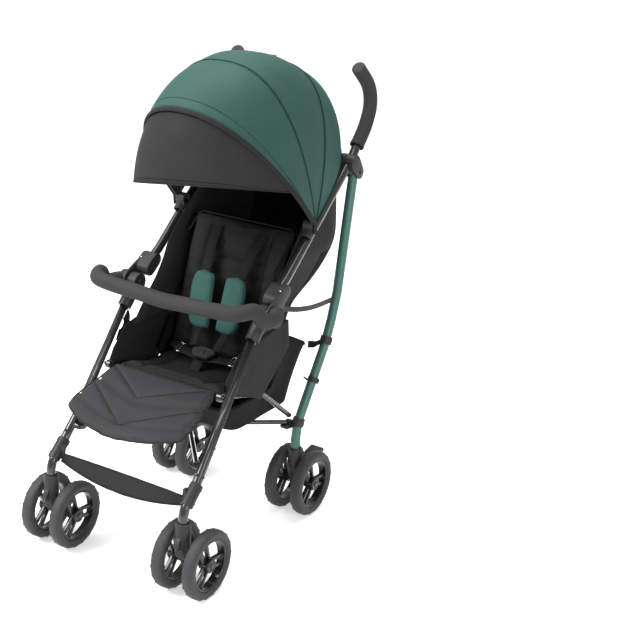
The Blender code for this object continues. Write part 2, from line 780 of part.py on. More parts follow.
def make_bumper_bar(finish):
    """Foam covered front bar with a round hub at each arm joint."""
    front_y = ARM_JOINT[0] - BUMPER_REACH
    front_z = ARM_JOINT[1] + BUMPER_RISE
    wide, turn = BUMPER_X, BUMPER_CORNER
    half = [
        (wide, ARM_JOINT[0] - 0.012, ARM_JOINT[1] + 0.003),
        (wide, ARM_JOINT[0] - 0.060, ARM_JOINT[1] + 0.012),
        (wide - 0.006, front_y + turn * 0.8, front_z + 0.004),
        (wide - turn * 0.45, front_y + turn * 0.2, front_z + 0.004),
        (wide - turn * 1.2, front_y + 0.002, front_z + 0.002),
        (0.060, front_y, front_z - 0.001),
    ]
    route = half + [(0.0, front_y, front_z - 0.004)] + [(-x, y, z) for x, y, z in reversed(half)]
    bm = bmesh.new()
    tube(bm, smooth_path([Vector(p) for p in route], 3), BUMPER_R)
    piece = add_piece("bumper_bar", bm, finish, (0, *ARM_JOINT))
    for side in (-1, 1):
        hub = bmesh.new()
        low = PLATE_X + ARM_PLATE_T + GAP
        rod(hub, at(side, low, ARM_JOINT), at(side, low + BUMPER_HUB_W, ARM_JOINT), BUMPER_HUB_R, 20)
        combine(piece, hub, "UNION")
        well = bmesh.new()
        floor = low + BUMPER_HUB_W - BUTTON_DEPTH
        rod(well, at(side, floor, ARM_JOINT), at(side, low + 0.05, ARM_JOINT), BUTTON_R + GAP, 16)
        combine(piece, well, "DIFFERENCE")


def make_bumper_button(side, finish):
    """Release button that presses into the bumper bar's hub."""
    outer = PLATE_X + ARM_PLATE_T + GAP + BUMPER_HUB_W
    low = outer - BUTTON_DEPTH + BUTTON_TRAVEL + GAP
    bm = bmesh.new()
    profile = [(BUTTON_R, low), (BUTTON_R, outer + 0.0012), (BUTTON_R - 0.0015, outer + BUTTON_TRAVEL)]
    turned_x(bm, [(r, side * x) for r, x in profile], at(side, 0.0, ARM_JOINT), 16)
    add_piece(f"bumper_button_{word(side)}", bm, finish, at(side, outer, ARM_JOINT))


def arch_point(bow, phi, inset=0.0):
    """A point of a canopy arch: phi runs from 0 on the left to pi on the right."""
    angle, height, past_tube, square = bow
    c, s = math.cos(phi), math.sin(phi)
    x = (TUBE_X + past_tube - inset) * math.copysign(abs(c) ** (2 / square), c)
    rise = (height - inset) * abs(s) ** (2 / square)
    tilt = math.radians(angle)
    return Vector((x, CANOPY_PIVOT[0] - rise * math.cos(tilt), CANOPY_PIVOT[1] + rise * math.sin(tilt)))


def mixed_bow(first, second, share):
    """The arch of the cloth between two bows, which swells a little halfway."""
    made = [a + (b - a) * share for a, b in zip(first, second)]
    made[1] += BULGE * math.sin(math.pi * share)
    return tuple(made)


def arch_row(bow, inset, foot, columns):
    """Points along an arch between its two feet, which stop short of the pivot."""
    row = []
    start = math.asin(min(1.0, foot / bow[1]) ** (bow[3] / 2))
    for j in range(columns):
        phi = start + (math.pi - 2 * start) * j / (columns - 1)
        row.append(arch_point(bow, phi, inset))
    return row


def make_canopy_cover(finish):
    """One cloth shell over the bows, swelling a little between them."""
    spans = ((FRONT_BOW, MIDDLE_BOW, 3), (MIDDLE_BOW, REAR_BOW, 3), (REAR_BOW, HEM_BOW, 3))
    bows = []
    for first, second, steps in spans:
        bows += [mixed_bow(first, second, n / steps) for n in range(steps)]
    bows.append(HEM_BOW)
    outer = [arch_row(b, 0.0, BOW_FOOT, ARCH_COLUMNS) for b in bows]
    inner = [arch_row(b, CLOTH_T, BOW_FOOT, ARCH_COLUMNS) for b in bows]
    bm = bmesh.new()
    closed_sheet(bm, outer, inner)
    add_piece("canopy_cover", bm, finish, at(1, 0, CANOPY_PIVOT))


def visor_hem(columns):
    """Evenly spaced points of the visor's front hem, from the left bow end to the right one."""
    half = TUBE_X + FRONT_BOW[2]
    path = curve_through([Vector((share * half, y, z)) for share, y, z in VISOR_HEM], 8)
    return [path[round((len(path) - 1) * j / (columns - 1))] for j in range(columns)]


def make_sun_visor(finish):
    """Cloth flap that closes the canopy's front, from its rim down to the front hem."""
    columns, rows = 17, 5
    angle, height, past_tube, square = FRONT_BOW
    rim_bow = (angle - 0.70, height - 0.005, past_tube - 0.001, square)
    span = math.pi - 2 * VISOR_START
    rim = [arch_point(rim_bow, VISOR_START + span * j / (columns - 1)) for j in range(columns)]
    hem = visor_hem(columns)
    outer, inner = [], []
    for i in range(rows):
        share = i / (rows - 1)
        swell = Vector((0, -1, 0.6)) * VISOR_SWELL * math.sin(math.pi * share)
        row = []
        for j in range(columns):
            across = math.sin(math.pi * j / (columns - 1))
            row.append(rim[j].lerp(hem[j], share) + swell * across)
        outer.append(row)
        middle = Vector((0, CANOPY_PIVOT[0], CANOPY_PIVOT[1]))
        inner.append([p + (middle - p).normalized() * CLOTH_T * 0.8 for p in row])
    bm = bmesh.new()
    closed_sheet(bm, outer, inner)
    add_piece("sun_visor", bm, finish, at(1, 0, CANOPY_PIVOT))


def make_canopy_bow(name, bow, finish):
    bm = bmesh.new()
    inset = CLOTH_T + BOW_CLEARANCE + BOW_R
    tube(bm, arch_row(bow, inset, BOW_FOOT, ARCH_COLUMNS), BOW_R, 6)
    add_piece(name, bm, finish, at(1, 0, CANOPY_PIVOT))


def make_canopy_clip(side, finish):
    """Clip on the upper tube with the disc that the canopy bows turn on."""
    foot = (0.098, 0.6685)
    half = CLIP_W / 2
    bm = bmesh.new()
    outline = link_outline(foot, 0.0150, CANOPY_PIVOT, BOW_FOOT - 0.001, 8)
    slab(bm, outline, side * (TUBE_X - half), side * (TUBE_X + half))
    piece = add_piece(f"canopy_clip_{word(side)}", bm, finish, at(side, TUBE_X, CANOPY_PIVOT))
    cut_for_tube(piece, upper_tube_path(side), TUBE_R)


def pad_surface(line, half_widths, thickness, columns, groove=None, bow=0.0):
    """Upper and lower grids of a crowned pad along a side line of (y, z) points."""
    pts = [Vector((0, y, z)) for y, z in line]
    upper, lower = [], []
    last = len(pts) - 1
    for i, point in enumerate(pts):
        ahead = (pts[min(i + 1, last)] - pts[max(i - 1, 0)]).normalized()
        normal = Vector((0, -ahead.z, ahead.y))
        if normal.z < 0 and abs(normal.z) > abs(normal.y):
            normal = -normal
        top_row, low_row = [], []
        for j in range(columns):
            xi = -1 + 2 * j / (columns - 1)
            eta = -1 + 2 * i / last
            full = math.sqrt(max(0.0, 1 - abs(xi) ** 5)) * math.sqrt(max(0.0, 1 - abs(eta) ** 7))
            rise = thickness * (0.16 + 0.34 * full)
            if groove and groove(i, j):
                rise -= thickness * 0.16
            down = i / last
            point_or_arc = (1 - abs(xi)) * (1 - down) + (1 - xi * xi) * down
            shift = ahead * bow * point_or_arc * min(1.0, 2.5 * down)
            base = point + shift + Vector((xi * half_widths[i], 0, 0))
            top_row.append(base + normal * rise)
            low_row.append(base - normal * thickness * (0.16 + 0.30 * full))
        upper.append(top_row)
        lower.append(low_row)
    return upper, lower


def resample(points, count):
    """A smooth side line through the points, with evenly spaced samples."""
    path = curve_through([Vector((0, y, z)) for y, z in points], 8)
    lengths = [0.0]
    for a, b in zip(path, path[1:]):
        lengths.append(lengths[-1] + (b - a).length)
    line, k = [], 0
    for n in range(count):
        goal = lengths[-1] * n / (count - 1)
        while k < len(path) - 2 and lengths[k + 1] < goal:
            k += 1
        share = (goal - lengths[k]) / (lengths[k + 1] - lengths[k])
        spot = path[k].lerp(path[k + 1], share)
        line.append((spot.y, spot.z))
    return line


def on_pad(points, thickness, y=None, z=None):
    """The (y, z) place of a strap lying on a pad, where the pad's side line passes a y or a z."""
    line = resample(points, 60)
    axis, goal = (0, y) if z is None else (1, z)
    lift = thickness * PAD_CROWN + STRAP_T / 2 + GAP
    k = min(range(1, len(line)), key=lambda n: abs(line[n][axis] - goal))
    ahead = (Vector(line[k]) - Vector(line[k - 1])).normalized()
    return (line[k][0] - ahead.y * lift, line[k][1] + ahead.x * lift)


def make_pad(name, line, half_widths, thickness, columns, finish, groove=None, bow=0.0):
    bm = bmesh.new()
    upper, lower = pad_surface(line, half_widths, thickness, columns, groove, bow)
    closed_sheet(bm, upper, lower)
    first = line[0]
    add_piece(name, bm, finish, (0, first[0], first[1]))


def drawn_in(half_width, count, pull):
    """Half widths that pull in between the corners."""
    return [half_width * (1 - pull * math.sin(math.pi * n / (count - 1))) for n in range(count)]


def make_seat_pad(finish):
    rows = 11
    line = resample(SEAT_LINE, rows)
    make_pad(
        "seat_pad",
        line,
        drawn_in(RAIL_X - RAIL_R - GAP, rows, 0.003),
        SEAT_T,
        15,
        finish,
        lambda i, j: j in (3, 11) and 0 < i < rows - 1,
    )


def make_back_pad(finish):
    rows = 15
    line = resample(BACK_LINE, rows)
    make_pad(
        "back_pad",
        line,
        drawn_in(INNER_X - BACK_INSET, rows, 0.03),
        BACK_T,
        15,
        finish,
        lambda i, j: (j in (3, 11) and 0 < i < rows - 1) or (i in (5, 10) and 3 < j < 11),
    )


def make_leg_rest(finish):
    """Calf pad with two sewn chevrons and a bowed toe."""
    rows = 15
    line = resample((LEG_REST_TOP, LEG_REST_TOE), rows)
    widths = []
    for n in range(rows):
        t = n / (rows - 1)
        widths.append((TUBE_X - LEG_REST_INSET) * (1 - 0.148 * (1 - t) ** 2.5) * (1 - 0.06 * t**6))
    make_pad("leg_rest", line, widths, LEG_REST_T, 17, finish, lambda i, j: i in (5, 10), LEG_REST_BOW)


def make_back_cover(finish):
    """Cloth tub round the seat back, open in front: a deep pouch above and close side walls below.

    Each level is the y of its sides, the y of its rear, its height, its half width and its roundness.
    """
    slack = INNER_X - GAP
    levels = [
        (0.230, 0.300, 0.806, slack - 0.0112, 0.70),
        (0.176, 0.322, 0.748, slack - 0.0102, 0.80),
        (0.108, 0.335, 0.684, slack - 0.0062, 0.90),
        (0.044, 0.335, 0.618, slack, 0.95),
        (0.006, 0.300, 0.574, slack - 0.0080, 0.95),
        (-0.022, 0.215, 0.540, slack - 0.0102, 0.80),
        (-0.050, 0.140, 0.510, slack - 0.0095, 0.60),
        (-0.078, 0.104, 0.480, slack - 0.0100, 0.45),
        (-0.108, 0.086, 0.447, slack - 0.0110, 0.38),
    ]
    outer, inner = [], []
    for side_y, rear_y, z, half, rear_round in levels:
        for rows, inset in ((outer, 0.0), (inner, COVER_T)):
            row = []
            for j in range(17):
                t = math.pi * j / 16
                c, s = math.cos(t), math.sin(t)
                x = (half - inset) * math.copysign(abs(c) ** (rear_round * 0.75), c)
                y = side_y + (rear_y - side_y - inset) * abs(s) ** rear_round
                row.append(Vector((x, y, z)))
            rows.append(row)
    bm = bmesh.new()
    closed_sheet(bm, outer, inner)
    add_piece("back_cover", bm, finish, (0, 0.236, 0.826))


def basket_rim(y):
    """Rim height over the basket's floor: low under the seat, high behind it, falling to the rear."""
    rise_start, rise_end = 0.016, 0.080
    if y < rise_start:
        return BASKET_LOW_RIM
    if y < rise_end:
        share = (y - rise_start) / (rise_end - rise_start)
        return BASKET_LOW_RIM + (BASKET_HIGH_RIM - BASKET_LOW_RIM) * share
    share = (y - rise_end) / (BASKET_REAR_Y - rise_end)
    return BASKET_HIGH_RIM + (BASKET_REAR_RIM - BASKET_HIGH_RIM) * share


def make_basket(finish):
    """Open cloth basket under the seat, its walls sloping out and rising behind the seat."""
    half = RAIL_X - RAIL_R - GAP
    floor_front, floor_rear = BASKET_FRONT_Y + 0.050, BASKET_REAR_Y - 0.043
    rings = []
    for inset, base in ((0.0, 0.0), (BASKET_T, BASKET_T)):
        for share in (0.0, 0.34, 1.0):
            front = floor_front + (BASKET_FRONT_Y - floor_front) * share + inset
            rear = floor_rear + (BASKET_REAR_Y - floor_rear) * share - inset
            width = half - 0.016 * (1 - share) - inset
            level = []
            for k in range(28):
                t = math.tau * k / 28
                c, s = math.cos(t), math.sin(t)
                x = width * math.copysign(abs(c) ** 0.35, c)
                y = front + (rear - front) * (0.5 + 0.5 * math.copysign(abs(s) ** 0.7, s))
                z = BASKET_FLOOR_Z + base + (basket_rim(y) - base) * share
                level.append((x, y, z))
            rings.append(level)
    bm = bmesh.new()
    order = [rings[0], rings[1], rings[2], rings[5], rings[4], rings[3]]
    loft(bm, [[bm.verts.new(p) for p in level] for level in order])
    add_piece("basket", bm, finish, at(1, 0, RAIL_PIVOT))


def make_foot_strap(finish):
    """Cloth strap across the front legs, deeper in the middle."""
    y, z = CASTER_Y + 0.030, 0.228
    reach = CASTER_X - TUBE_R - GAP
    outer, inner = [], []
    for i in range(4):
        rows = []
        for j in range(15):
            xi = -1 + 2 * j / 14
            deep = 0.010 + 0.012 * (1 - xi * xi)
            sag = 1 - xi * xi
            height = z - sag * 0.006 - deep + 2 * deep * i / 3
            rows.append(Vector((reach * xi, y - 0.010 * sag, height)))
        outer.append(rows)
        inner.append([p + Vector((0, CLOTH_T, 0)) for p in rows])
    bm = bmesh.new()
    closed_sheet(bm, outer, inner)
    add_piece("foot_strap", bm, finish, (0, y, z))


def belt(bm, route, width, thickness, across=(1, 0, 0)):
    """Flat webbing along a route, its width across the given direction."""
    side = Vector(across).normalized() * width / 2
    rings = []
    for k, point in enumerate(route):
        ahead = (route[min(k + 1, len(route) - 1)] - route[max(k - 1, 0)]).normalized()
        lift = ahead.cross(side).normalized() * thickness / 2
        corners = (point - side - lift, point + side - lift, point + side + lift, point - side + lift)
        rings.append([bm.verts.new(p) for p in corners])
    loft(bm, rings)


def make_shoulder_pad(side, finish):
    """Soft sleeve sewn round its shoulder strap, which shows above and below it."""
    bm = bmesh.new()
    rows = 9
    line = resample((PAD_TOP, PAD_LOW), rows)
    x_top, x_low = side * SHOULDER_X, side * (SHOULDER_X - PAD_TOE_IN)
    upper, lower = pad_surface(line, drawn_in(PAD_HALF_W, rows, 0.04), PAD_T, 7)
    for grid in (upper, lower):
        for i, row in enumerate(grid):
            for p in row:
                p.x += x_top + (x_low - x_top) * i / (rows - 1)
    closed_sheet(bm, upper, lower)
    piece = add_piece(f"shoulder_pad_{word(side)}", bm, finish, at(side, SHOULDER_X, PAD_TOP))
    x_strap = side * STRAP_TOP_X
    top = Vector((x_strap, *on_pad(BACK_LINE, BACK_T, z=STRAP_TOP_Z)))
    leaving = Vector((x_strap, *on_pad(BACK_LINE, BACK_T, z=STRAP_TOP_Z - 0.012)))
    inside_top = Vector((x_top, *along(PAD_TOP, PAD_LOW, 0.020)))
    strap = bmesh.new()
    belt(strap, [top, leaving, inside_top], WEB_W, STRAP_T)
    combine(piece, strap, "UNION")
    inside_low = Vector((x_low, *along(PAD_LOW, PAD_TOP, 0.020)))
    clip = Vector((side * 0.034, BUCKLE_AT[0] + 0.012, BUCKLE_AT[1] + 0.026))
    strap = bmesh.new()
    belt(strap, [inside_low, inside_low.lerp(clip, 0.5), clip], WEB_W * 0.8, STRAP_T)
    combine(piece, strap, "UNION")


def make_harness_webbing(finish):
    """Lap straps that meet under the buckle, and the crotch strap."""
    bm = bmesh.new()
    y, z = BUCKLE_AT
    under = z - BUCKLE_T / 2 - STRAP_T - 0.0025
    left = Vector((0.112, 0.002, 0.386))
    middle = Vector((0.040, y + 0.006, under + 0.004))
    halfway = left.lerp(middle, 0.5) + Vector((0, -0.004, 0.002))
    route = [left, halfway, middle, Vector((0, y + 0.002, under))]
    route += [Vector((-p.x, p.y, p.z)) for p in reversed(route[:-1])]
    belt(bm, route, WEB_W * 0.8, STRAP_T, (0, 1, -0.3))
    piece = add_piece("harness_webbing", bm, finish, (0, *BUCKLE_AT))
    crotch = bmesh.new()
    root = Vector((0, *on_pad(SEAT_LINE, SEAT_T, y=y - 0.034)))
    top, bend = Vector((0, y + 0.004, under + 0.0004)), Vector((0, y - 0.016, under - 0.001))
    belt(crotch, [top, bend, root], WEB_W, STRAP_T)
    combine(piece, crotch, "UNION")


def make_harness_buckle(finish):
    """Six sided buckle, tilted back like the seat."""
    y, z = BUCKLE_AT
    right = [(0.018, 0.022), (0.030, 0.012), (0.020, -0.012)]
    outer = right + [(-x, v) for x, v in reversed(right)]
    bm = bmesh.new()
    half = BUCKLE_T / 2
    low = [bm.verts.new((x, y + v * 0.8, z + v * 0.2 - half + 0.0030)) for x, v in outer]
    high = [bm.verts.new((x * 0.9, y + v * 0.7, z + v * 0.2 + half)) for x, v in outer]
    loft(bm, [low, high])
    add_piece("harness_buckle", bm, finish, (0, y, z))


def stand_on_centre():
    """Moves every piece so that the floor centre of the whole stroller is the origin."""
    bpy.context.view_layer.update()
    graph = bpy.context.evaluated_depsgraph_get()
    shown = [o for o in bpy.context.scene.objects if o.type == "MESH" and not o.hide_render]
    corners = []
    for piece in shown:
        done = piece.evaluated_get(graph)
        corners += [done.matrix_world @ Vector(c) for c in done.bound_box]
    middle = (min(c.y for c in corners) + max(c.y for c in corners)) / 2
    for piece in bpy.context.scene.objects:
        piece.location.y -= middle


def main():
    clear_scene()
    looks = {
        "black": material("black_tube", (0.012, 0.012, 0.013), 0.28, 0.4),
        "green_tube": material("green_tube", (0.085, 0.190, 0.150), 0.35, 0.2),
        "plastic": material("dark_plastic", (0.035, 0.035, 0.037), 0.50),
        "foam": material("grip_foam", (0.030, 0.030, 0.032), 0.75),
        "tyre": material("tyre_foam", (0.045, 0.046, 0.048), 0.80),
        "rim": material("rim_plastic", (0.015, 0.015, 0.016), 0.40),
        "green_cloth": material("green_cloth", (0.050, 0.150, 0.120), 0.85),
        "grey_cloth": material("grey_cloth", (0.045, 0.046, 0.048), 0.90),
        "webbing": material("webbing", (0.030, 0.030, 0.032), 0.85),
    }
    rim_shape = rim_mesh(looks["rim"])
    for side in (1, -1):
        make_upper_tube(side, looks["black"])
        make_grip(side, looks["foam"])
        make_upper_hinge(side, looks["plastic"])
        make_arm_hub(side, looks["plastic"])
        make_leg_knuckle(side, looks["plastic"])
        make_front_leg(side, looks["black"])
        make_caster_socket(side, looks["plastic"])
        make_fork(side, looks["plastic"])
        make_rear_leg(side, looks["green_tube"])
        make_rear_housing(side, looks["plastic"])
        make_brake_pedal(side, looks["plastic"])
        make_seat_rail(side, looks["black"])
        make_brace_swivel(side, looks["plastic"])
        make_brace_bar(side, looks["black"])
        make_canopy_clip(side, looks["plastic"])
        make_bumper_button(side, looks["plastic"])
        make_shoulder_pad(side, looks["green_cloth"])
        front = f"front_{word(side)}"
        rear = f"rear_{word(side)}"
        make_wheel_pair(front, side, CASTER_X, FRONT_AXLE_Y, FRONT_PAIR, rim_shape, looks)
        make_wheel_pair(rear, side, REAR_X, REAR_AXLE_Y, REAR_PAIR, rim_shape, looks)
    make_bumper_bar(looks["foam"])
    make_canopy_bow("canopy_bow_front", FRONT_BOW, looks["plastic"])
    make_canopy_bow("canopy_bow_middle", MIDDLE_BOW, looks["plastic"])
    make_canopy_bow("canopy_bow_rear", REAR_BOW, looks["plastic"])
    make_canopy_cover(looks["green_cloth"])
    make_sun_visor(looks["grey_cloth"])
    make_seat_pad(looks["grey_cloth"])
    make_back_pad(looks["grey_cloth"])
    make_back_cover(looks["grey_cloth"])
    make_basket(looks["grey_cloth"])
    make_leg_rest(looks["grey_cloth"])
    make_foot_strap(looks["grey_cloth"])
    make_harness_webbing(looks["webbing"])
    make_harness_buckle(looks["plastic"])
    stand_on_centre()


main()
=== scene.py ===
"""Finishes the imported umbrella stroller: frame, wheels, canopy, seat cloths, harness and studio."""

import json
import math

import bmesh
import bpy
import numpy
from bpy.props import FloatProperty, FloatVectorProperty, PointerProperty
from bpy.types import Operator, Panel, PropertyGroup
from mathutils import Matrix, Vector, noise
from mathutils.bvhtree import BVHTree

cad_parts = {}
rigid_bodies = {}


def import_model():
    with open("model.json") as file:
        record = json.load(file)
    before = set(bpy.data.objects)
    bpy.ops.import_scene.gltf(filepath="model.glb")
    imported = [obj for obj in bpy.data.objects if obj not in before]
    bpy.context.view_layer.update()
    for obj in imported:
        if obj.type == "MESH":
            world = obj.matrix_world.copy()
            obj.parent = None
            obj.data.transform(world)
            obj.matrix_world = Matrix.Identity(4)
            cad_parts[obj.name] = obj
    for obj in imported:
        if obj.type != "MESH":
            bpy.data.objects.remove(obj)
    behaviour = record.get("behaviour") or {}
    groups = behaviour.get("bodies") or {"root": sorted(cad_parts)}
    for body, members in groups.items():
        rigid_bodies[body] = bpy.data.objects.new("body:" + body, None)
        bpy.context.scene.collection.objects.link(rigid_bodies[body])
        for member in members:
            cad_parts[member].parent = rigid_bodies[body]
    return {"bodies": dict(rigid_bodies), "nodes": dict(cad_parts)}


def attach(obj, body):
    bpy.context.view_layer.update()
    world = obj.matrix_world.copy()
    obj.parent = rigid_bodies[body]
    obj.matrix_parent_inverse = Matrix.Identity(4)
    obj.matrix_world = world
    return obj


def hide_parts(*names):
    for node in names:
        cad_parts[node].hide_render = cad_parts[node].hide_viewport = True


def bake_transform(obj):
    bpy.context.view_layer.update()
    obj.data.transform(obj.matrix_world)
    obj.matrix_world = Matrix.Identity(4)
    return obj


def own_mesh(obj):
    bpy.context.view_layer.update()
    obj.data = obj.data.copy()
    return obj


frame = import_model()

bl_info = {
    "name": "Umbrella stroller",
    "version": (1, 0, 0),
    "blender": (4, 5, 0),
    "location": "3D View > Sidebar > Stroller",
    "description": "Builds the cloths, wheels, trim and studio of a folding stroller",
    "category": "Object",
}

# Metres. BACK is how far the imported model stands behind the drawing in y.
BACK = 0.01577
TUBE_X = 0.168
INNER_X = 0.1575
CASTER_X = 0.175
REAR_X = 0.161
TUBE_R = 0.0105
ARM_JOINT = (-0.065, 0.532)
RAIL_X = 0.1467
RAIL_R = 0.006
WHEEL_R = 0.075
TYRE_W = 0.027
TYRE_BORE_R = 0.0563
RIM_W = 0.020
# Pair, x, y and the distance between its two wheels.
WHEELS = (
    ("front", CASTER_X, -0.320, 0.078),
    ("rear", REAR_X, 0.1185, 0.068),
)
CANOPY_PIVOT = (0.104, 0.688)
# Canopy arches: angle in degrees, height, reach past the tube and squareness.
FRONT_BOW = (47.0, 0.367, 0.018, 2.2)
MIDDLE_BOW = (74.0, 0.358, 0.016, 2.45)
REAR_BOW = (105.0, 0.334, 0.015, 2.7)
HEM_BOW = (139.5, 0.262, 0.015, 3.0)
BOW_FOOT = 0.010
BULGE = 0.005
BULGES = (0.006, 0.006, 0.021)
# Angle where the visor starts on the front arch, then its hem: share of the half width, y, z.
VISOR_START = 0.34
VISOR_HEM = (
    (0.945, 0.005, 0.782),
    (0.645, -0.115, 0.806),
    (0.0, -0.165, 0.804),
    (-0.645, -0.134, 0.782),
    (-0.905, -0.042, 0.757),
)
# Side lines of the seat and back pads: y and z.
SEAT_LINE = ((-0.168, 0.384), (-0.120, 0.366), (-0.060, 0.353), (0.016, 0.3580))
BACK_LINE = ((0.016, 0.362), (0.036, 0.440), (0.056, 0.520), (0.084, 0.600), (0.124, 0.664))
PAD_T = 0.018
PAD_HALF_W = 0.0285
PAD_TOP = (0.020, 0.563)
PAD_LOW = (-0.013, 0.440)
SHOULDER_X = 0.044
PAD_TOE_IN = 0.007
BUCKLE_AT = (-0.048, 0.396)
BASKET_FLOOR_Z = 0.262
BASKET_FRONT_Y = -0.150
BASKET_REAR_Y = 0.158
# Side y, rear y, height, half width and roundness of the back cover, from low to high.
COVER_LEVELS = (
    (-0.108, 0.104, 0.447, INNER_X - 0.0113, 0.40),
    (-0.078, 0.116, 0.480, INNER_X - 0.0103, 0.42),
    (-0.050, 0.152, 0.510, INNER_X - 0.0098, 0.46),
    (-0.022, 0.240, 0.540, INNER_X - 0.0105, 0.48),
    (0.006, 0.298, 0.574, INNER_X - 0.0083, 0.50),
    (0.044, 0.320, 0.618, INNER_X - 0.0012, 0.52),
    (0.108, 0.320, 0.684, INNER_X - 0.0065, 0.55),
    (0.176, 0.308, 0.748, INNER_X - 0.0105, 0.60),
    (0.230, 0.292, 0.806, INNER_X - 0.0115, 0.65),
)
# Rear edge of the side walls: y and z.
WALL_REAR_EDGE = (
    (-0.006, 0.379),
    (0.043, 0.450),
    (0.072, 0.499),
    (0.105, 0.545),
    (0.117, 0.647),
)
UP = Vector((0, 0, 1))
ARCH_COLUMNS = 91
CLOTH_T = 0.0012
WALL_X = 0.1546
BUMPER_HINGE_X = 0.1838 + 0.0052 + 0.0003
BEVEL_SHARP = 38
CLOTH_SHINE = 0.12
HARD_SHINE = 0.25
STUFFING_FRAMES = 20
PHOTO_SIDE = 640
PHOTO_FOCAL = 1407


def colour_setting(name, description, default):
    return FloatVectorProperty(
        name=name, description=description, subtype="COLOR", default=default, min=0.0, max=1.0
    )


def length_setting(name, description, default, lowest=0.0):
    return FloatProperty(
        name=name,
        description=description,
        subtype="DISTANCE",
        unit="LENGTH",
        default=default,
        min=lowest,
    )


class ClothSettings(PropertyGroup):
    """Colours and sizes of the stroller's cloths."""

    green: colour_setting(
        "Canopy green", "Colour of the canopy and the shoulder pads", (0.022, 0.058, 0.049)
    )
    charcoal: colour_setting(
        "Charcoal", "Colour of the seat, visor and leg rest", (0.017, 0.0173, 0.018)
    )
    lining: colour_setting(
        "Lining", "Colour of the pouch, the basket and the webbing", (0.0055, 0.0055, 0.006)
    )
    threads: FloatProperty(
        name="Threads per metre", description="How close the weave is", default=1400.0, min=100.0
    )
    crease: length_setting(
        "Crease height", "How high the folds of the stretched cloths stand", 0.0016
    )
    swell: length_setting("Pad swell", "How far the stuffing may push a pad out", 0.006)


class FrameSettings(PropertyGroup):
    """Colours and sizes of the stroller's tubes and moulded joints."""

    green: colour_setting("Leg green", "Colour of the two rear legs", (0.038, 0.104, 0.084))
    plastic: colour_setting("Plastic", "Colour of the moulded joints", (0.017, 0.017, 0.018))
    edge: length_setting("Edge radius", "Rounding of the moulded edges", 0.0009)


class WheelSettings(PropertyGroup):
    """Colours and sizes of the stroller's wheels."""

    tyre: colour_setting("Tyre", "Colour of the foam tyres", (0.032, 0.032, 0.034))
    rim: colour_setting("Rim", "Colour of the wheel centres", (0.008, 0.008, 0.009))
    spoke: length_setting("Spoke width", "Width of each of the paired spokes", 0.0060, 0.001)


class StageSettings(PropertyGroup):
    """Floor and light of the studio."""

    floor: colour_setting("Floor", "Colour of the studio floor", (0.86, 0.86, 0.86))
    sky: FloatProperty(
        name="Room light",
        description="Strength of the even light of the room",
        default=0.62,
        min=0.0,
    )
    key: FloatProperty(
        name="Key light",
        description="Power of the large lamp in front",
        subtype="POWER",
        unit="POWER",
        default=210.0,
        min=0.0,
    )


def at(x, y, z):
    """A drawn point, moved back to where the model stands."""
    return Vector((x, y + BACK, z))


def socket_node(tree, kind, **values):
    made = tree.nodes.new(kind)
    for key, value in values.items():
        setattr(made, key, value)
    return made


def feed(tree, slot, value):
    """Links an output to a slot, or sets the slot's own value."""
    if isinstance(value, bpy.types.NodeSocket):
        tree.links.new(value, slot)
    else:
        slot.default_value = value


def calc(tree, operation, *values):
    made = socket_node(tree, "ShaderNodeMath", operation=operation)
    for slot, value in zip(made.inputs, values):
        feed(tree, slot, value)
    return made.outputs[0]


def vector_calc(tree, operation, *values):
    made = socket_node(tree, "ShaderNodeVectorMath", operation=operation)
    for slot, value in zip(made.inputs, values):
        feed(tree, slot, value)
    return made.outputs["Value" if operation == "DOT_PRODUCT" else "Vector"]


def noise_of(tree, coordinates, scale, detail=3.0, roughness=0.5):
    made = tree.nodes.new("ShaderNodeTexNoise")
    feed(tree, made.inputs["Vector"], coordinates)
    feed(tree, made.inputs["Scale"], scale)
    made.inputs["Detail"].default_value = detail
    made.inputs["Roughness"].default_value = roughness
    return made.outputs["Fac"]


def remap(tree, value, low, high, to_low=0.0, to_high=1.0):
    made = tree.nodes.new("ShaderNodeMapRange")
    for slot, item in zip(made.inputs, (value, low, high, to_low, to_high)):
        feed(tree, slot, item)
    return made.outputs["Result"]


def mix_colour(tree, share, first, second):
    made = socket_node(tree, "ShaderNodeMix", data_type="RGBA")
    feed(tree, made.inputs["Factor"], share)
    feed(tree, made.inputs[6], first)
    feed(tree, made.inputs[7], second)
    return made.outputs[2]


def new_group(name, inputs, outputs):
    group = bpy.data.node_groups.new(name, "ShaderNodeTree")
    for label, kind, default in inputs:
        slot = group.interface.new_socket(label, in_out="INPUT", socket_type=kind)
        slot.default_value = default
    for label, kind in outputs:
        group.interface.new_socket(label, in_out="OUTPUT", socket_type=kind)
    return group, group.nodes.new("NodeGroupInput"), group.nodes.new("NodeGroupOutput")


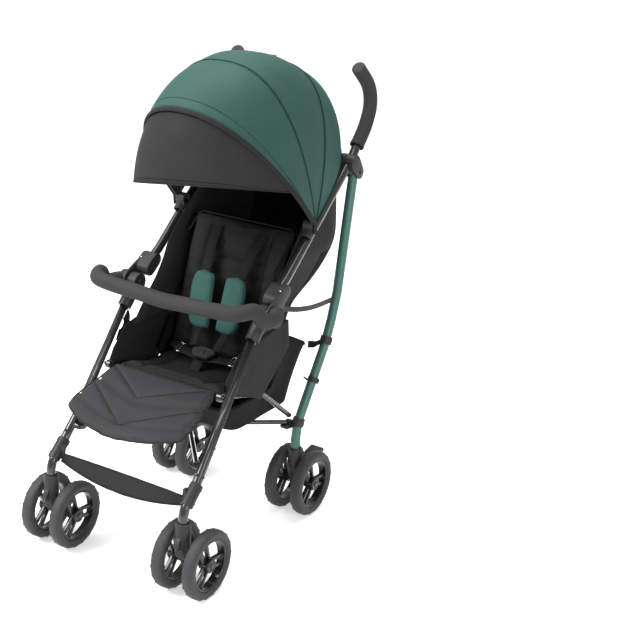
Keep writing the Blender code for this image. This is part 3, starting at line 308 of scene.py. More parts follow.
def make_weave_group():
    """Plain weave in the plane that each bit of cloth faces."""
    group, given, out = new_group(
        "weave", [("Threads", "NodeSocketFloat", 1400.0)], [("Height", "NodeSocketFloat")]
    )
    place = group.nodes.new("ShaderNodeTexCoord")
    turns = calc(group, "MULTIPLY", given.outputs["Threads"], math.pi)
    spread = group.nodes.new("ShaderNodeCombineXYZ")
    for slot in spread.inputs:
        group.links.new(turns, slot)
    scaled = vector_calc(group, "MULTIPLY", place.outputs["Object"], spread.outputs[0])
    waves = vector_calc(group, "SINE", scaled)
    parts = group.nodes.new("ShaderNodeSeparateXYZ")
    group.links.new(waves, parts.inputs[0])
    first = group.nodes.new("ShaderNodeCombineXYZ")
    second = group.nodes.new("ShaderNodeCombineXYZ")
    for slot, source in enumerate((1, 2, 0)):
        group.links.new(parts.outputs[source], first.inputs[slot])
    for slot, source in enumerate((2, 0, 1)):
        group.links.new(parts.outputs[source], second.inputs[slot])
    crossed = vector_calc(group, "MULTIPLY", first.outputs[0], second.outputs[0])
    facing = vector_calc(group, "MULTIPLY", place.outputs["Normal"], place.outputs["Normal"])
    group.links.new(vector_calc(group, "DOT_PRODUCT", crossed, facing), out.inputs["Height"])
    return group


def make_tone_group():
    """Soft patches where the dye and the nap of a cloth vary, and its small creases."""
    group, given, out = new_group(
        "cloth_tone",
        [
            ("Color", "NodeSocketColor", (0.1, 0.1, 0.1, 1.0)),
            ("Worn Color", "NodeSocketColor", (0.2, 0.2, 0.2, 1.0)),
            ("Patch Size", "NodeSocketFloat", 9.0),
            ("Amount", "NodeSocketFloat", 0.3),
        ],
        [("Color", "NodeSocketColor"), ("Creases", "NodeSocketFloat"), ("Fuzz", "NodeSocketFloat")],
    )
    place = group.nodes.new("ShaderNodeTexCoord").outputs["Object"]
    patches = noise_of(group, place, given.outputs["Patch Size"])
    amount = calc(group, "MULTIPLY", remap(group, patches, 0.3, 0.7), given.outputs["Amount"])
    fuzz = noise_of(group, place, 900.0, 2.0)
    share = calc(group, "ADD", amount, calc(group, "MULTIPLY", fuzz, 0.12))
    colour = mix_colour(group, share, given.outputs["Color"], given.outputs["Worn Color"])
    group.links.new(colour, out.inputs["Color"])
    group.links.new(noise_of(group, place, 26.0, 2.0, 0.4), out.inputs["Creases"])
    group.links.new(fuzz, out.inputs["Fuzz"])
    return group


def make_wear_group():
    """Mask of rubbed edges."""
    group, given, out = new_group(
        "edge_wear", [("Amount", "NodeSocketFloat", 0.5)], [("Mask", "NodeSocketFloat")]
    )
    shape = group.nodes.new("ShaderNodeNewGeometry").outputs["Pointiness"]
    place = group.nodes.new("ShaderNodeTexCoord").outputs["Object"]
    rubbed = calc(group, "MULTIPLY", remap(group, shape, 0.51, 0.58), noise_of(group, place, 60.0))
    group.links.new(calc(group, "MULTIPLY", rubbed, given.outputs["Amount"]), out.inputs["Mask"])
    return group


def make_grain_group():
    """Fine moulded grain."""
    group, given, out = new_group(
        "grain",
        [("Scale", "NodeSocketFloat", 900.0), ("Roughness", "NodeSocketFloat", 0.5)],
        [("Height", "NodeSocketFloat"), ("Roughness", "NodeSocketFloat")],
    )
    place = group.nodes.new("ShaderNodeTexCoord").outputs["Object"]
    fine = noise_of(group, place, given.outputs["Scale"], 2.0)
    broad = noise_of(group, place, 14.0, 2.0)
    group.links.new(fine, out.inputs["Height"])
    spread = remap(group, broad, 0.3, 0.7, -0.07, 0.07)
    group.links.new(calc(group, "ADD", given.outputs["Roughness"], spread), out.inputs["Roughness"])
    return group


def make_dust_group():
    """Mask of the dust that settles on what faces up."""
    group, given, out = new_group(
        "dust", [("Amount", "NodeSocketFloat", 0.2)], [("Mask", "NodeSocketFloat")]
    )
    place = group.nodes.new("ShaderNodeTexCoord")
    up = vector_calc(group, "DOT_PRODUCT", place.outputs["Normal"], (0.0, 0.0, 1.0))
    cover = calc(
        group, "MULTIPLY", remap(group, up, 0.3, 1.0),
        noise_of(group, place.outputs["Object"], 38.0),
    )
    group.links.new(calc(group, "MULTIPLY", cover, given.outputs["Amount"]), out.inputs["Mask"])
    return group


def placed(tree, group, **values):
    made = tree.nodes.new("ShaderNodeGroup")
    made.node_tree = group
    for key, value in values.items():
        feed(tree, made.inputs[key.replace("_", " ")], value)
    return made


def start_material(name):
    made = bpy.data.materials.new(name)
    made.use_nodes = True
    return made, made.node_tree, made.node_tree.nodes["Principled BSDF"]


def bumped(tree, shader, heights):
    """Stacks bumps, each as height, distance and strength, on the shader's normal."""
    before = None
    for height, distance, strength in heights:
        bump = tree.nodes.new("ShaderNodeBump")
        bump.inputs["Distance"].default_value = distance
        bump.inputs["Strength"].default_value = strength
        tree.links.new(height, bump.inputs["Height"])
        if before:
            tree.links.new(before, bump.inputs["Normal"])
        before = bump.outputs["Normal"]
    tree.links.new(before, shader.inputs["Normal"])


def rgba(colour, scale=1.0):
    return (*(min(1.0, c * scale) for c in colour), 1.0)


def cloth_material(name, colour, groups, threads, worn, roughness, sheen, crease):
    made, tree, shader = start_material(name)
    tone = placed(
        tree, groups["tone"], Color=rgba(colour), Worn_Color=rgba(
            colour, worn,
        ), Amount=0.45, Patch_Size=9.0
    )
    weave = placed(tree, groups["weave"], Threads=threads)
    tree.links.new(tone.outputs["Color"], shader.inputs["Base Color"])
    rough = remap(tree, tone.outputs["Fuzz"], 0.3, 0.7, roughness - 0.06, roughness + 0.06)
    tree.links.new(rough, shader.inputs["Roughness"])
    shader.inputs["Sheen Weight"].default_value = sheen
    shader.inputs["Sheen Roughness"].default_value = 0.45
    shader.inputs["Sheen Tint"].default_value = rgba(colour, 2.0)
    shader.inputs["Specular IOR Level"].default_value = CLOTH_SHINE
    bumped(
        tree,
        shader,
        [(tone.outputs["Creases"], 0.004, crease), (weave.outputs["Height"], 0.00012, 0.6)],
    )
    return made


def hard_material(name, colour, groups, roughness, metallic, coat, grain, depth, worn):
    made, tree, shader = start_material(name)
    wear = placed(tree, groups["wear"], Amount=0.7)
    dust = placed(tree, groups["dust"], Amount=0.10)
    texture = placed(tree, groups["grain"], Scale=grain, Roughness=roughness)
    rubbed = mix_colour(tree, wear.outputs["Mask"], rgba(colour), rgba(colour, worn))
    dusty = mix_colour(tree, dust.outputs["Mask"], rubbed, (0.10, 0.095, 0.09, 1.0))
    tree.links.new(dusty, shader.inputs["Base Color"])
    tree.links.new(texture.outputs["Roughness"], shader.inputs["Roughness"])
    shader.inputs["Metallic"].default_value = metallic
    shader.inputs["Coat Weight"].default_value = coat
    shader.inputs["Coat Roughness"].default_value = 0.12
    shader.inputs["Specular IOR Level"].default_value = HARD_SHINE
    bumped(tree, shader, [(texture.outputs["Height"], depth, 0.5)])
    return made


# Finish, slot, material, shade and its scale, threads (0 for the setting), worn scale, roughness,
# sheen and crease.
CLOTHS = (
    ("green_cloth", "green_cloth", "canopy_green", "green", 1.0, 0, 1.35, 0.58, 0.12, 0.2),
    ("pad_green", "green_cloth", "pad_green", "green", 1.25, 0, 1.5, 0.8, 0.12, 0.5),
    ("charcoal", "grey_cloth", "charcoal_cloth", "charcoal", 1.0, 0, 1.4, 0.70, 0.12, 0.6),
    ("quilt", "grey_cloth", "seat_cloth", "charcoal", 0.66, 0, 1.5, 0.72, 0.12, 1.0),
    ("calf", "grey_cloth", "leg_rest_cloth", "charcoal", 1.5, 0, 1.3, 0.62, 0.15, 0.6),
    ("lining", "grey_cloth", "black_lining", "lining", 1.0, 0, 1.8, 0.9, 0.1, 0.5),
    ("mesh", "grey_cloth", "basket_mesh", "lining", 1.2, 420.0, 2.2, 0.85, 0.15, 0.5),
    ("webbing", "webbing", "webbing_weave", "lining", 1.0, 620.0, 2.0, 0.7, 0.2, 0.1),
    ("binding", "grey_cloth", "binding_tape", "charcoal", 0.85, 800.0, 1.5, 0.75, 0.25, 0.5),
    ("seam", "green_cloth", "seam_thread", "green", 0.45, 1800.0, 1.3, 0.8, 0.25, 0.5),
    ("dark_seam", "grey_cloth", "dark_thread", "lining", 0.5, 1800.0, 1.3, 0.8, 0.25, 0.5),
)
# Finish, slot, material, shade, roughness, metallic, coat, grain, its depth and worn scale.
HARD_LOOKS = (
    ("black_tube", "black_tube", "black_lacquer", "black", 0.24, 0.0, 0.7, 220.0, 3e-5, 2.6),
    ("green_tube", "green_tube", "green_lacquer", "leg", 0.42, 0.15, 0.25, 500.0, 4e-5, 1.5),
    ("plastic", "dark_plastic", "moulded_plastic", "plastic", 0.46, 0.0, 0.0, 1100.0, 12e-5, 2.0),
    ("foam", "grip_foam", "soft_foam", "foam", 0.78, 0.0, 0.0, 1500.0, 30e-5, 1.2),
    ("tyre", "tyre_foam", "tyre_foam_skin", "tyre", 0.58, 0.0, 0.0, 700.0, 20e-5, 1.6),
    ("rim", "rim_plastic", "rim_gloss", "rim", 0.30, 0.0, 0.35, 300.0, 5e-5, 3.0),
    ("steel", "black_tube", "rivet_steel", "steel", 0.32, 1.0, 0.0, 900.0, 3e-5, 1.3),
    ("dark_steel", "black_tube", "blackened_steel", "dark_steel", 0.40, 0.6, 0.0, 500.0, 5e-5, 2.6),
)
finishes = {}


def finish(name):
    """The named material, built with all the others the first time one is asked for."""
    if not finishes:
        groups = {
            "weave": make_weave_group(),
            "tone": make_tone_group(),
            "wear": make_wear_group(),
            "grain": make_grain_group(),
            "dust": make_dust_group(),
        }
        scene = bpy.context.scene
        cloth, tubes, wheels = scene.stroller_cloth, scene.stroller_frame, scene.stroller_wheels
        shades = {
            "green": cloth.green,
            "charcoal": cloth.charcoal,
            "lining": cloth.lining,
            "leg": tubes.green,
            "plastic": tubes.plastic,
            "tyre": wheels.tyre,
            "rim": wheels.rim,
            "black": (0.010, 0.010, 0.011),
            "foam": (0.024, 0.0235, 0.024),
            "steel": (0.42, 0.42, 0.43),
            "dark_steel": (0.030, 0.030, 0.032),
        }
        for key, _, label, shade, scale, threads, *rest in CLOTHS:
            colour = tuple(c * scale for c in shades[shade])
            finishes[key] = cloth_material(label, colour, groups, threads or cloth.threads, *rest)
        for key, _, label, shade, *rest in HARD_LOOKS:
            finishes[key] = hard_material(label, tuple(shades[shade]), groups, *rest)
    return finishes[name]


def body_of(node):
    parent = frame["nodes"][node].parent
    for name, empty in frame["bodies"].items():
        if empty == parent:
            return name
    raise RuntimeError(f"{node} rides on no body")


def word(side):
    return "left" if side > 0 else "right"


def add_piece(name, bm, looks, body, replaced=(), sharp=45, more_looks=()):
    """Turns a bmesh into a piece that rides on a body and takes the finish's material."""
    bmesh.ops.recalc_face_normals(bm, faces=bm.faces)
    mesh = bpy.data.meshes.new(name)
    bm.to_mesh(mesh)
    bm.free()
    mesh.shade_smooth()
    mesh.set_sharp_from_angle(angle=math.radians(sharp))
    mesh.materials.append(finish(looks))
    for extra in more_looks:
        mesh.materials.append(finish(extra))
    piece = bpy.data.objects.new(name, mesh)
    bpy.context.scene.collection.objects.link(piece)
    if body:
        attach(piece, body)
    if replaced:
        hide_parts(*replaced)
    return piece


def applied(piece):
    """Bakes the piece's modifiers into its mesh."""
    graph = bpy.context.evaluated_depsgraph_get()
    done = bpy.data.meshes.new_from_object(piece.evaluated_get(graph))
    piece.modifiers.clear()
    old = piece.data
    done.name = old.name
    piece.data = done
    bpy.data.meshes.remove(old)
    return piece


def thickened(piece, thickness, offset=-1.0):
    change = piece.modifiers.new("Thickness", "SOLIDIFY")
    change.thickness = thickness
    change.offset = offset
    change.use_even_offset = False
    return applied(piece)


def folds_flat(*pieces):
    """Gives each piece a mesh of its own."""
    for piece in pieces:
        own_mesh(piece)


def sweep(bm, path, outline, normal=UP, closed=False):
    """Pushes an (across, out) outline along a path; normal is one vector or one for each point."""
    rings = []
    count = len(path)
    for k, point in enumerate(path):
        if closed:
            ahead = path[(k + 1) % count] - path[k - 1]
        else:
            ahead = path[min(k + 1, count - 1)] - path[max(k - 1, 0)]
        ahead = ahead.normalized()
        out = normal[k] if isinstance(normal, list) else normal
        out = (out - ahead * out.dot(ahead)).normalized()
        across = ahead.cross(out)
        rings.append([bm.verts.new(point + across * a + out * n) for a, n in outline])
    for first, second in zip(rings, rings[1:] + rings[:1] if closed else rings[1:]):
        size = len(first)
        for k in range(size):
            n = (k + 1) % size
            bm.faces.new((first[k], first[n], second[n], second[k]))
    if not closed:
        bm.faces.new(list(reversed(rings[0])))
        bm.faces.new(rings[-1])


def circle(radius, sides=12, flat=1.0):
    turn = math.tau / sides
    return [(radius * math.cos(k * turn), radius * flat * math.sin(k * turn)) for k in range(sides)]


def tape(width, thickness):
    """Cross-section of webbing with soft edges."""
    w, t = width / 2, thickness / 2
    return [
        (-w, -t * 0.4), (-w * 0.92, -t), (w * 0.92, -t), (w, -t * 0.4), (w, t * 0.4), (w * 0.92, t),
        (-w * 0.92, t), (-w, t * 0.4),
    ]


def lathe(bm, profile, centre, axis=(1, 0, 0), segments=40, closed=False):
    """Turns a (radius, along) profile round an axis; flat ends unless the profile is closed."""
    turn = Vector((1, 0, 0)).rotation_difference(Vector(axis)).to_matrix()
    rows = []
    for r, along in profile:
        row = []
        for k in range(segments):
            t = math.tau * k / segments
            spot = Vector((along, r * math.cos(t), r * math.sin(t)))
            row.append(bm.verts.new(Vector(centre) + turn @ spot))
        rows.append(row)
    pairs = list(zip(rows, rows[1:]))
    if closed:
        pairs.append((rows[-1], rows[0]))
    for first, second in pairs:
        for k in range(segments):
            n = (k + 1) % segments
            bm.faces.new((first[k], first[n], second[n], second[k]))
    if not closed:
        bm.faces.new(list(reversed(rows[0])))
        bm.faces.new(rows[-1])


def block(bm, corners_low, corners_high):
    """A solid between two matching outlines."""
    low = [bm.verts.new(p) for p in corners_low]
    high = [bm.verts.new(p) for p in corners_high]
    size = len(low)
    for k in range(size):
        n = (k + 1) % size
        bm.faces.new((low[k], low[n], high[n], high[k]))
    bm.faces.new(list(reversed(low)))
    bm.faces.new(high)


def grid_faces(bm, grid, wraps=False):
    """Skins a grid of points and gives back its vertices."""
    verts = [[bm.verts.new(p) for p in row] for row in grid]
    for i in range(len(verts) - 1):
        columns = len(verts[i])
        for j in range(columns if wraps else columns - 1):
            n = (j + 1) % columns
            bm.faces.new((verts[i][j], verts[i][n], verts[i + 1][n], verts[i + 1][j]))
    return verts


def curve_through(points, steps):
    """Points of a smooth curve through the given ones."""
    pts = [Vector(p) for p in points]
    ends = [pts[0] * 2 - pts[1], *pts, pts[-1] * 2 - pts[-2]]
    path = []
    for k in range(1, len(ends) - 2):
        a, b, c, d = ends[k - 1 : k + 3]
        for n in range(steps):
            t = n / steps
            bend = (2 * a - 5 * b + 4 * c - d) * t**2 + (3 * b - a - 3 * c + d) * t**3
            path.append(0.5 * (2 * b + (c - a) * t + bend))
    return [*path, pts[-1]]


def evenly(path, count):
    """Evenly spaced samples of a path."""
    lengths = [0.0]
    for a, b in zip(path, path[1:]):
        lengths.append(lengths[-1] + (b - a).length)
    samples, k = [], 0
    for n in range(count):
        goal = lengths[-1] * n / (count - 1)
        while k < len(path) - 2 and lengths[k + 1] < goal:
            k += 1
        share = (goal - lengths[k]) / max(1e-9, lengths[k + 1] - lengths[k])
        samples.append(path[k].lerp(path[k + 1], share))
    return samples


def ripple(point, scale, seed=0.0):
    return noise.noise(Vector(point) * scale + Vector((seed, seed * 0.7, -seed)))


def round_edges(piece, width, sharp=30):
    """Bevels the edges that turn by more than an angle in degrees."""
    change = piece.modifiers.new("Edges", "BEVEL")
    change.width = width
    change.segments = 2
    change.limit_method = "ANGLE"
    change.angle_limit = math.radians(sharp)
    change.use_clamp_overlap = True
    applied(piece)
    piece.data.shade_smooth()
    piece.data.set_sharp_from_angle(angle=math.radians(BEVEL_SHARP))


def cloth_piece(name, grid, looks, body, thickness, replaced=(), offset=-1.0, sharp=60):
    """A grid of points, skinned and thickened into a cloth."""
    bm = bmesh.new()
    grid_faces(bm, grid)
    return thickened(add_piece(name, bm, looks, body, replaced, sharp), thickness, offset)


def cord_piece(name, path, outline, normal, looks, body, replaced=(), closed=False, sharp=45):
    """A piece made of an outline that is pushed along a path."""
    bm = bmesh.new()
    sweep(bm, path, outline, normal, closed)
    return add_piece(name, bm, looks, body, replaced, sharp)


def refined(node, looks, edge=None, sharp=50):
    """A copy of a rigid node with rounded edges and smooth bends."""
    if edge is None:
        edge = bpy.context.scene.stroller_frame.edge
    bm = bmesh.new()
    bm.from_mesh(frame["nodes"][node].data)
    bmesh.ops.remove_doubles(bm, verts=bm.verts, dist=1e-5)
    bmesh.ops.dissolve_limit(bm, angle_limit=math.radians(1.5), verts=bm.verts, edges=bm.edges)
    piece = add_piece(f"{node}_finished", bm, looks, body_of(node), (node,), sharp)
    if edge:
        round_edges(piece, edge, sharp)
    return piece


class StrollerOperator(Operator):
    """Common part of the stroller's operators."""

    bl_options = {"REGISTER", "UNDO"}

    def execute(self, context):
        self.build(context)
        return {"FINISHED"}


class STROLLER_OT_frame(StrollerOperator):
    """Lacquers the tubes and rounds the moulded joints"""

    bl_idname = "stroller.frame"
    bl_label = "Frame tubes and joints"

    def build(self, context):
        for side in (1, -1):
            which = word(side)
            for node in ("upper_tube", "front_leg", "seat_rail", "brace_bar"):
                refined(f"{node}_{which}", "black_tube", 0.0)
            refined(f"rear_leg_{which}", "green_tube", 0.0)
            self.make_clip(side)
            for node in (
                "upper_hinge",
                "arm_hub",
                "leg_knuckle",
                "caster_socket",
                "caster_fork",
                "rear_housing",
                "brake_pedal",
                "brace_swivel",
                "bumper_button",
            ):
                refined(f"{node}_{which}", "plastic")

    def make_clip(self, side):
        """Slim clip round the upper tube, with the rivet that the bows turn on."""
        node = f"canopy_clip_{word(side)}"
        bm = bmesh.new()
        foot, top = at(side * TUBE_X, 0.098, 0.6685), at(side * TUBE_X, *CANOPY_PIVOT)
        run = Vector((0, 0.0863, 0.0739)).normalized()
        ring = [(0.0108, -0.012), (0.0128, -0.011), (0.0128, 0.011), (0.0108, 0.012)]
        lathe(bm, ring, foot, run, 32, True)
        disc = [(0.0110, -0.012), (0.0122, -0.011), (0.0122, 0.011), (0.0110, 0.012)]
        lathe(bm, disc, top + Vector((side * 0.001, 0, 0)), (side, 0, 0), 32)
        low, high = [], []
        for x, front in ((-0.011, True), (0.011, True), (0.011, False), (-0.011, False)):
            corner = (-0.006, 0.006) if front else (0.008, 0.004)
            low.append(foot + Vector((side * x, *corner)))
            high.append(top + Vector((side * x, -0.009 if front else 0.009, -0.002)))
        block(bm, low, high)
        add_piece(f"{node}_finished", bm, "plastic", body_of(node), (node,), 40)


class STROLLER_OT_wheels(StrollerOperator):
    """Makes the eight foam tyres and the four pairs of wheel centres"""

    bl_idname = "stroller.wheels"
    bl_label = "Wheels"

    def build(self, context):
        for end, x, y, spacing in WHEELS:
            for side in (1, -1):
                name = f"{end}_{word(side)}"
                centre = at(side * x, y, WHEEL_R)
                centres = bmesh.new()
                lathe(centres, [(0.004, -spacing / 2), (0.004, spacing / 2)], centre, segments=20)
                for outward in (-1, 1):
                    place = centre + Vector((outward * spacing / 2, 0, 0))
                    which = "outer" if outward == side else "inner"
                    self.make_tyre(name, which, place)
                    self.add_rim(centres, place, outward, context.scene.stroller_wheels.spoke)
                label, body, node = (f"{k}_{name}" for k in ("wheel_centres", "wheels", "wheelset"))
                piece = add_piece(label, centres, "rim", body, (node,), 35)
                round_edges(piece, 0.0006)

    def make_tyre(self, name, which, place):
        half = TYRE_W / 2
        profile = [
            (TYRE_BORE_R, -half * 0.76),
            (TYRE_BORE_R + 0.0018, -half * 0.88),
            (WHEEL_R - 0.0105, -half * 0.99),
            (WHEEL_R - 0.0070, -half * 0.97),
            (WHEEL_R - 0.0030, -half * 0.82),
            (WHEEL_R - 0.0008, -half * 0.55),
            (WHEEL_R, -half * 0.25),
            (WHEEL_R, half * 0.25),
            (WHEEL_R - 0.0008, half * 0.55),
            (WHEEL_R - 0.0030, half * 0.82),
            (WHEEL_R - 0.0070, half * 0.97),
            (WHEEL_R - 0.0105, half * 0.99),
            (TYRE_BORE_R + 0.0018, half * 0.88),
            (TYRE_BORE_R, half * 0.76),
        ]
        bm = bmesh.new()
        lathe(bm, profile, place, segments=72, closed=True)
        for k in range(18):
            t = math.tau * k / 18
            spoke = Vector((0, math.cos(t), math.sin(t)))
            for across in (-1, 1):
                spot = place + spoke * (WHEEL_R - 0.0016) + Vector((across * half * 0.72, 0, 0))
                along = spoke.cross(Vector((1, 0, 0)))
                lathe(bm, [(0.0009, -0.003), (0.0009, 0.003)], spot, along, 6)
        node = f"tyre_{name}_{which}"
        add_piece(f"foam_{node}", bm, "tyre", f"wheels_{name}", (node,), 60)

    def add_rim(self, bm, place, outward, spoke_width):
        half, outer = RIM_W / 2, TYRE_BORE_R - 0.0003
        barrel = [
            (outer, -half),
            (outer, half),
            (outer - 0.0030, half + 0.0008),
            (outer - 0.0052, half - 0.0012),
            (outer - 0.0042, 0.0),
            (outer - 0.0052, -half + 0.0012),
            (outer - 0.0030, -half - 0.0008),
        ]
        lathe(bm, barrel, place, segments=72, closed=True)
        axis = (outward, 0, 0)
        hub = [(0.0125, -0.013), (0.0130, 0.0060), (0.0152, 0.0085), (0.0152, 0.0118)]
        hub += [(0.0135, 0.0135), (0.0105, 0.0135), (0.0098, 0.0122), (0.0062, 0.0122)]
        hub += [(0.0055, 0.0146), (0.0012, 0.0150)]
        lathe(bm, hub, place, axis, 48)
        reach = outer - 0.0036
        for k in range(3):
            turn = Matrix.Rotation(math.tau * k / 3 + 0.35, 3, "X")
            for way in (-1, 1):
                low, high = [], []
                for depth, row in ((-0.0038, low), (0.0048, high)):
                    for r, offset in ((0.009, 0.0075), (reach, 0.0105)):
                        pair = (-1, 1) if r < 0.02 else (1, -1)
                        for s in pair:
                            flare = 1.0 if r < 0.02 else 1.25
                            shift = way * offset + s * spoke_width / 2 * flare
                            spot = Vector((outward * depth, shift, r))
                            row.append(place + turn @ spot)
                block(bm, low, high)
            web_low, web_high = [], []
            for depth, row in ((-0.0015, web_low), (0.0012, web_high)):
                for shift, r in ((-0.008, 0.012), (0.008, 0.012), (0.009, 0.024), (-0.009, 0.024)):
                    row.append(place + turn @ Vector((outward * depth, shift, r)))
            block(bm, web_low, web_high)


class STROLLER_OT_grips(StrollerOperator):
    """Makes the foam grips and the foam covered bumper bar"""

    bl_idname = "stroller.grips"
    bl_label = "Grips and bumper bar"

    def build(self, context):
        for side in (1, -1):
            self.make_grip(side)
        self.make_bumper()

    def make_grip(self, side):
        top, rise = (0.289, 0.823), 0.185
        route = [
            (TUBE_X, top[0] + 0.001, top[1] + 0.001),
            (TUBE_X - 0.001, top[0] + 0.036, top[1] + rise * 0.21),
            (TUBE_X - 0.003, top[0] + 0.058, top[1] + rise * 0.45),
            (TUBE_X - 0.006, top[0] + 0.050, top[1] + rise * 0.69),
            (TUBE_X - 0.009, top[0] + 0.006, top[1] + rise * 0.93),
        ]
        path = evenly(curve_through([at(side * x, y, z) for x, y, z in route], 8), 30)
        heading = (path[-1] - path[-2]).normalized()
        bm = bmesh.new()
        sweep(bm, path, circle(0.0155, 24), Vector((1, 0, 0)))
        end_cap = [(0.0155, -0.001), (0.0148, 0.0014), (0.0128, 0.0030), (0.0090, 0.0038)]
        lathe(bm, end_cap + [(0.003, 0.0040)], path[-1], heading, 24)
        collar = [(0.0160, 0.000), (0.0163, 0.002), (0.0163, 0.006), (0.0157, 0.008)]
        lathe(bm, collar, path[0], (path[1] - path[0]).normalized(), 24)
        node = f"grip_{word(side)}"
        add_piece(f"foam_{node}", bm, "foam", body_of(node), (node,), 60)

    def make_bumper(self):
        radius, reach, rise, turn = 0.0165, 0.128, 0.035, 0.055
        wide = BUMPER_HINGE_X + radius
        front_y, front_z = ARM_JOINT[0] - reach, ARM_JOINT[1] + rise
        half = [
            (wide, ARM_JOINT[0] - 0.012, ARM_JOINT[1] + 0.003),
            (wide, ARM_JOINT[0] - 0.060, ARM_JOINT[1] + 0.012),
            (wide - 0.006, front_y + turn * 0.8, front_z + 0.004),
            (wide - turn * 0.45, front_y + turn * 0.2, front_z + 0.004),
            (wide - turn * 1.2, front_y + 0.002, front_z + 0.002),
            (0.060, front_y, front_z - 0.001),
        ]
        mirrored = [(-x, y, z) for x, y, z in reversed(half)]
        route = [*half, (0.0, front_y, front_z - 0.004), *mirrored]
        path = evenly(curve_through([at(*p) for p in route], 8), 90)
        bm = bmesh.new()
        sweep(bm, path, circle(radius, 28), Vector((0, 0.2, 1)))
        ring = [(0.0118, 0.016), (0.0200, 0.016), (0.0222, 0.0148), (0.0226, 0.012)]
        ring += [(0.0226, 0.003), (0.0218, 0.0), (0.0118, 0.0)]
        for side in (-1, 1):
            hinge = at(side * BUMPER_HINGE_X, *ARM_JOINT)
            lathe(bm, ring, hinge, (side, 0, 0), 48, True)
            lathe(bm, [(0.0120, 0.0), (0.0120, 0.0088)], hinge, (side, 0, 0), 32)
        add_piece("foam_bumper_bar", bm, "foam", body_of("bumper_bar"), ("bumper_bar",), 50)


def arch_point(bow, phi, inset=0.0):
    """A point of a canopy arch: phi runs from 0 on the left to pi on the right."""
    angle, height, past_tube, square = bow
    c, s = math.cos(phi), math.sin(phi)
    x = (TUBE_X + past_tube - inset) * math.copysign(abs(c) ** (2 / square), c)
    rise = (height - inset) * abs(s) ** (2 / square)
    tilt = math.radians(angle)
    return at(x, CANOPY_PIVOT[0] - rise * math.cos(tilt), CANOPY_PIVOT[1] + rise * math.sin(tilt))


def mixed_bow(first, second, share, bulge=BULGE):
    made = [a + (b - a) * share for a, b in zip(first, second)]
    made[1] += bulge * math.sin(math.pi * share)
    return tuple(made)


def arch_angles(bow, columns):
    start = math.asin(min(1.0, BOW_FOOT / bow[1]) ** (bow[3] / 2))
    return [start + (math.pi - 2 * start) * j / (columns - 1) for j in range(columns)]


def with_tails(row, drop=0.016):
    """The row of an arch with its two ends drawn down over the pivots."""
    pivot_y, pivot_z = CANOPY_PIVOT
    y = pivot_y + BACK + (row[0].y - pivot_y - BACK) * 0.5
    first, last = (Vector((end.x, y, pivot_z - drop)) for end in (row[0], row[-1]))
    return [first, *row, last]


def outward(point):
    return (point - at(0.0, CANOPY_PIVOT[0] - 0.02, CANOPY_PIVOT[1] + 0.08)).normalized()


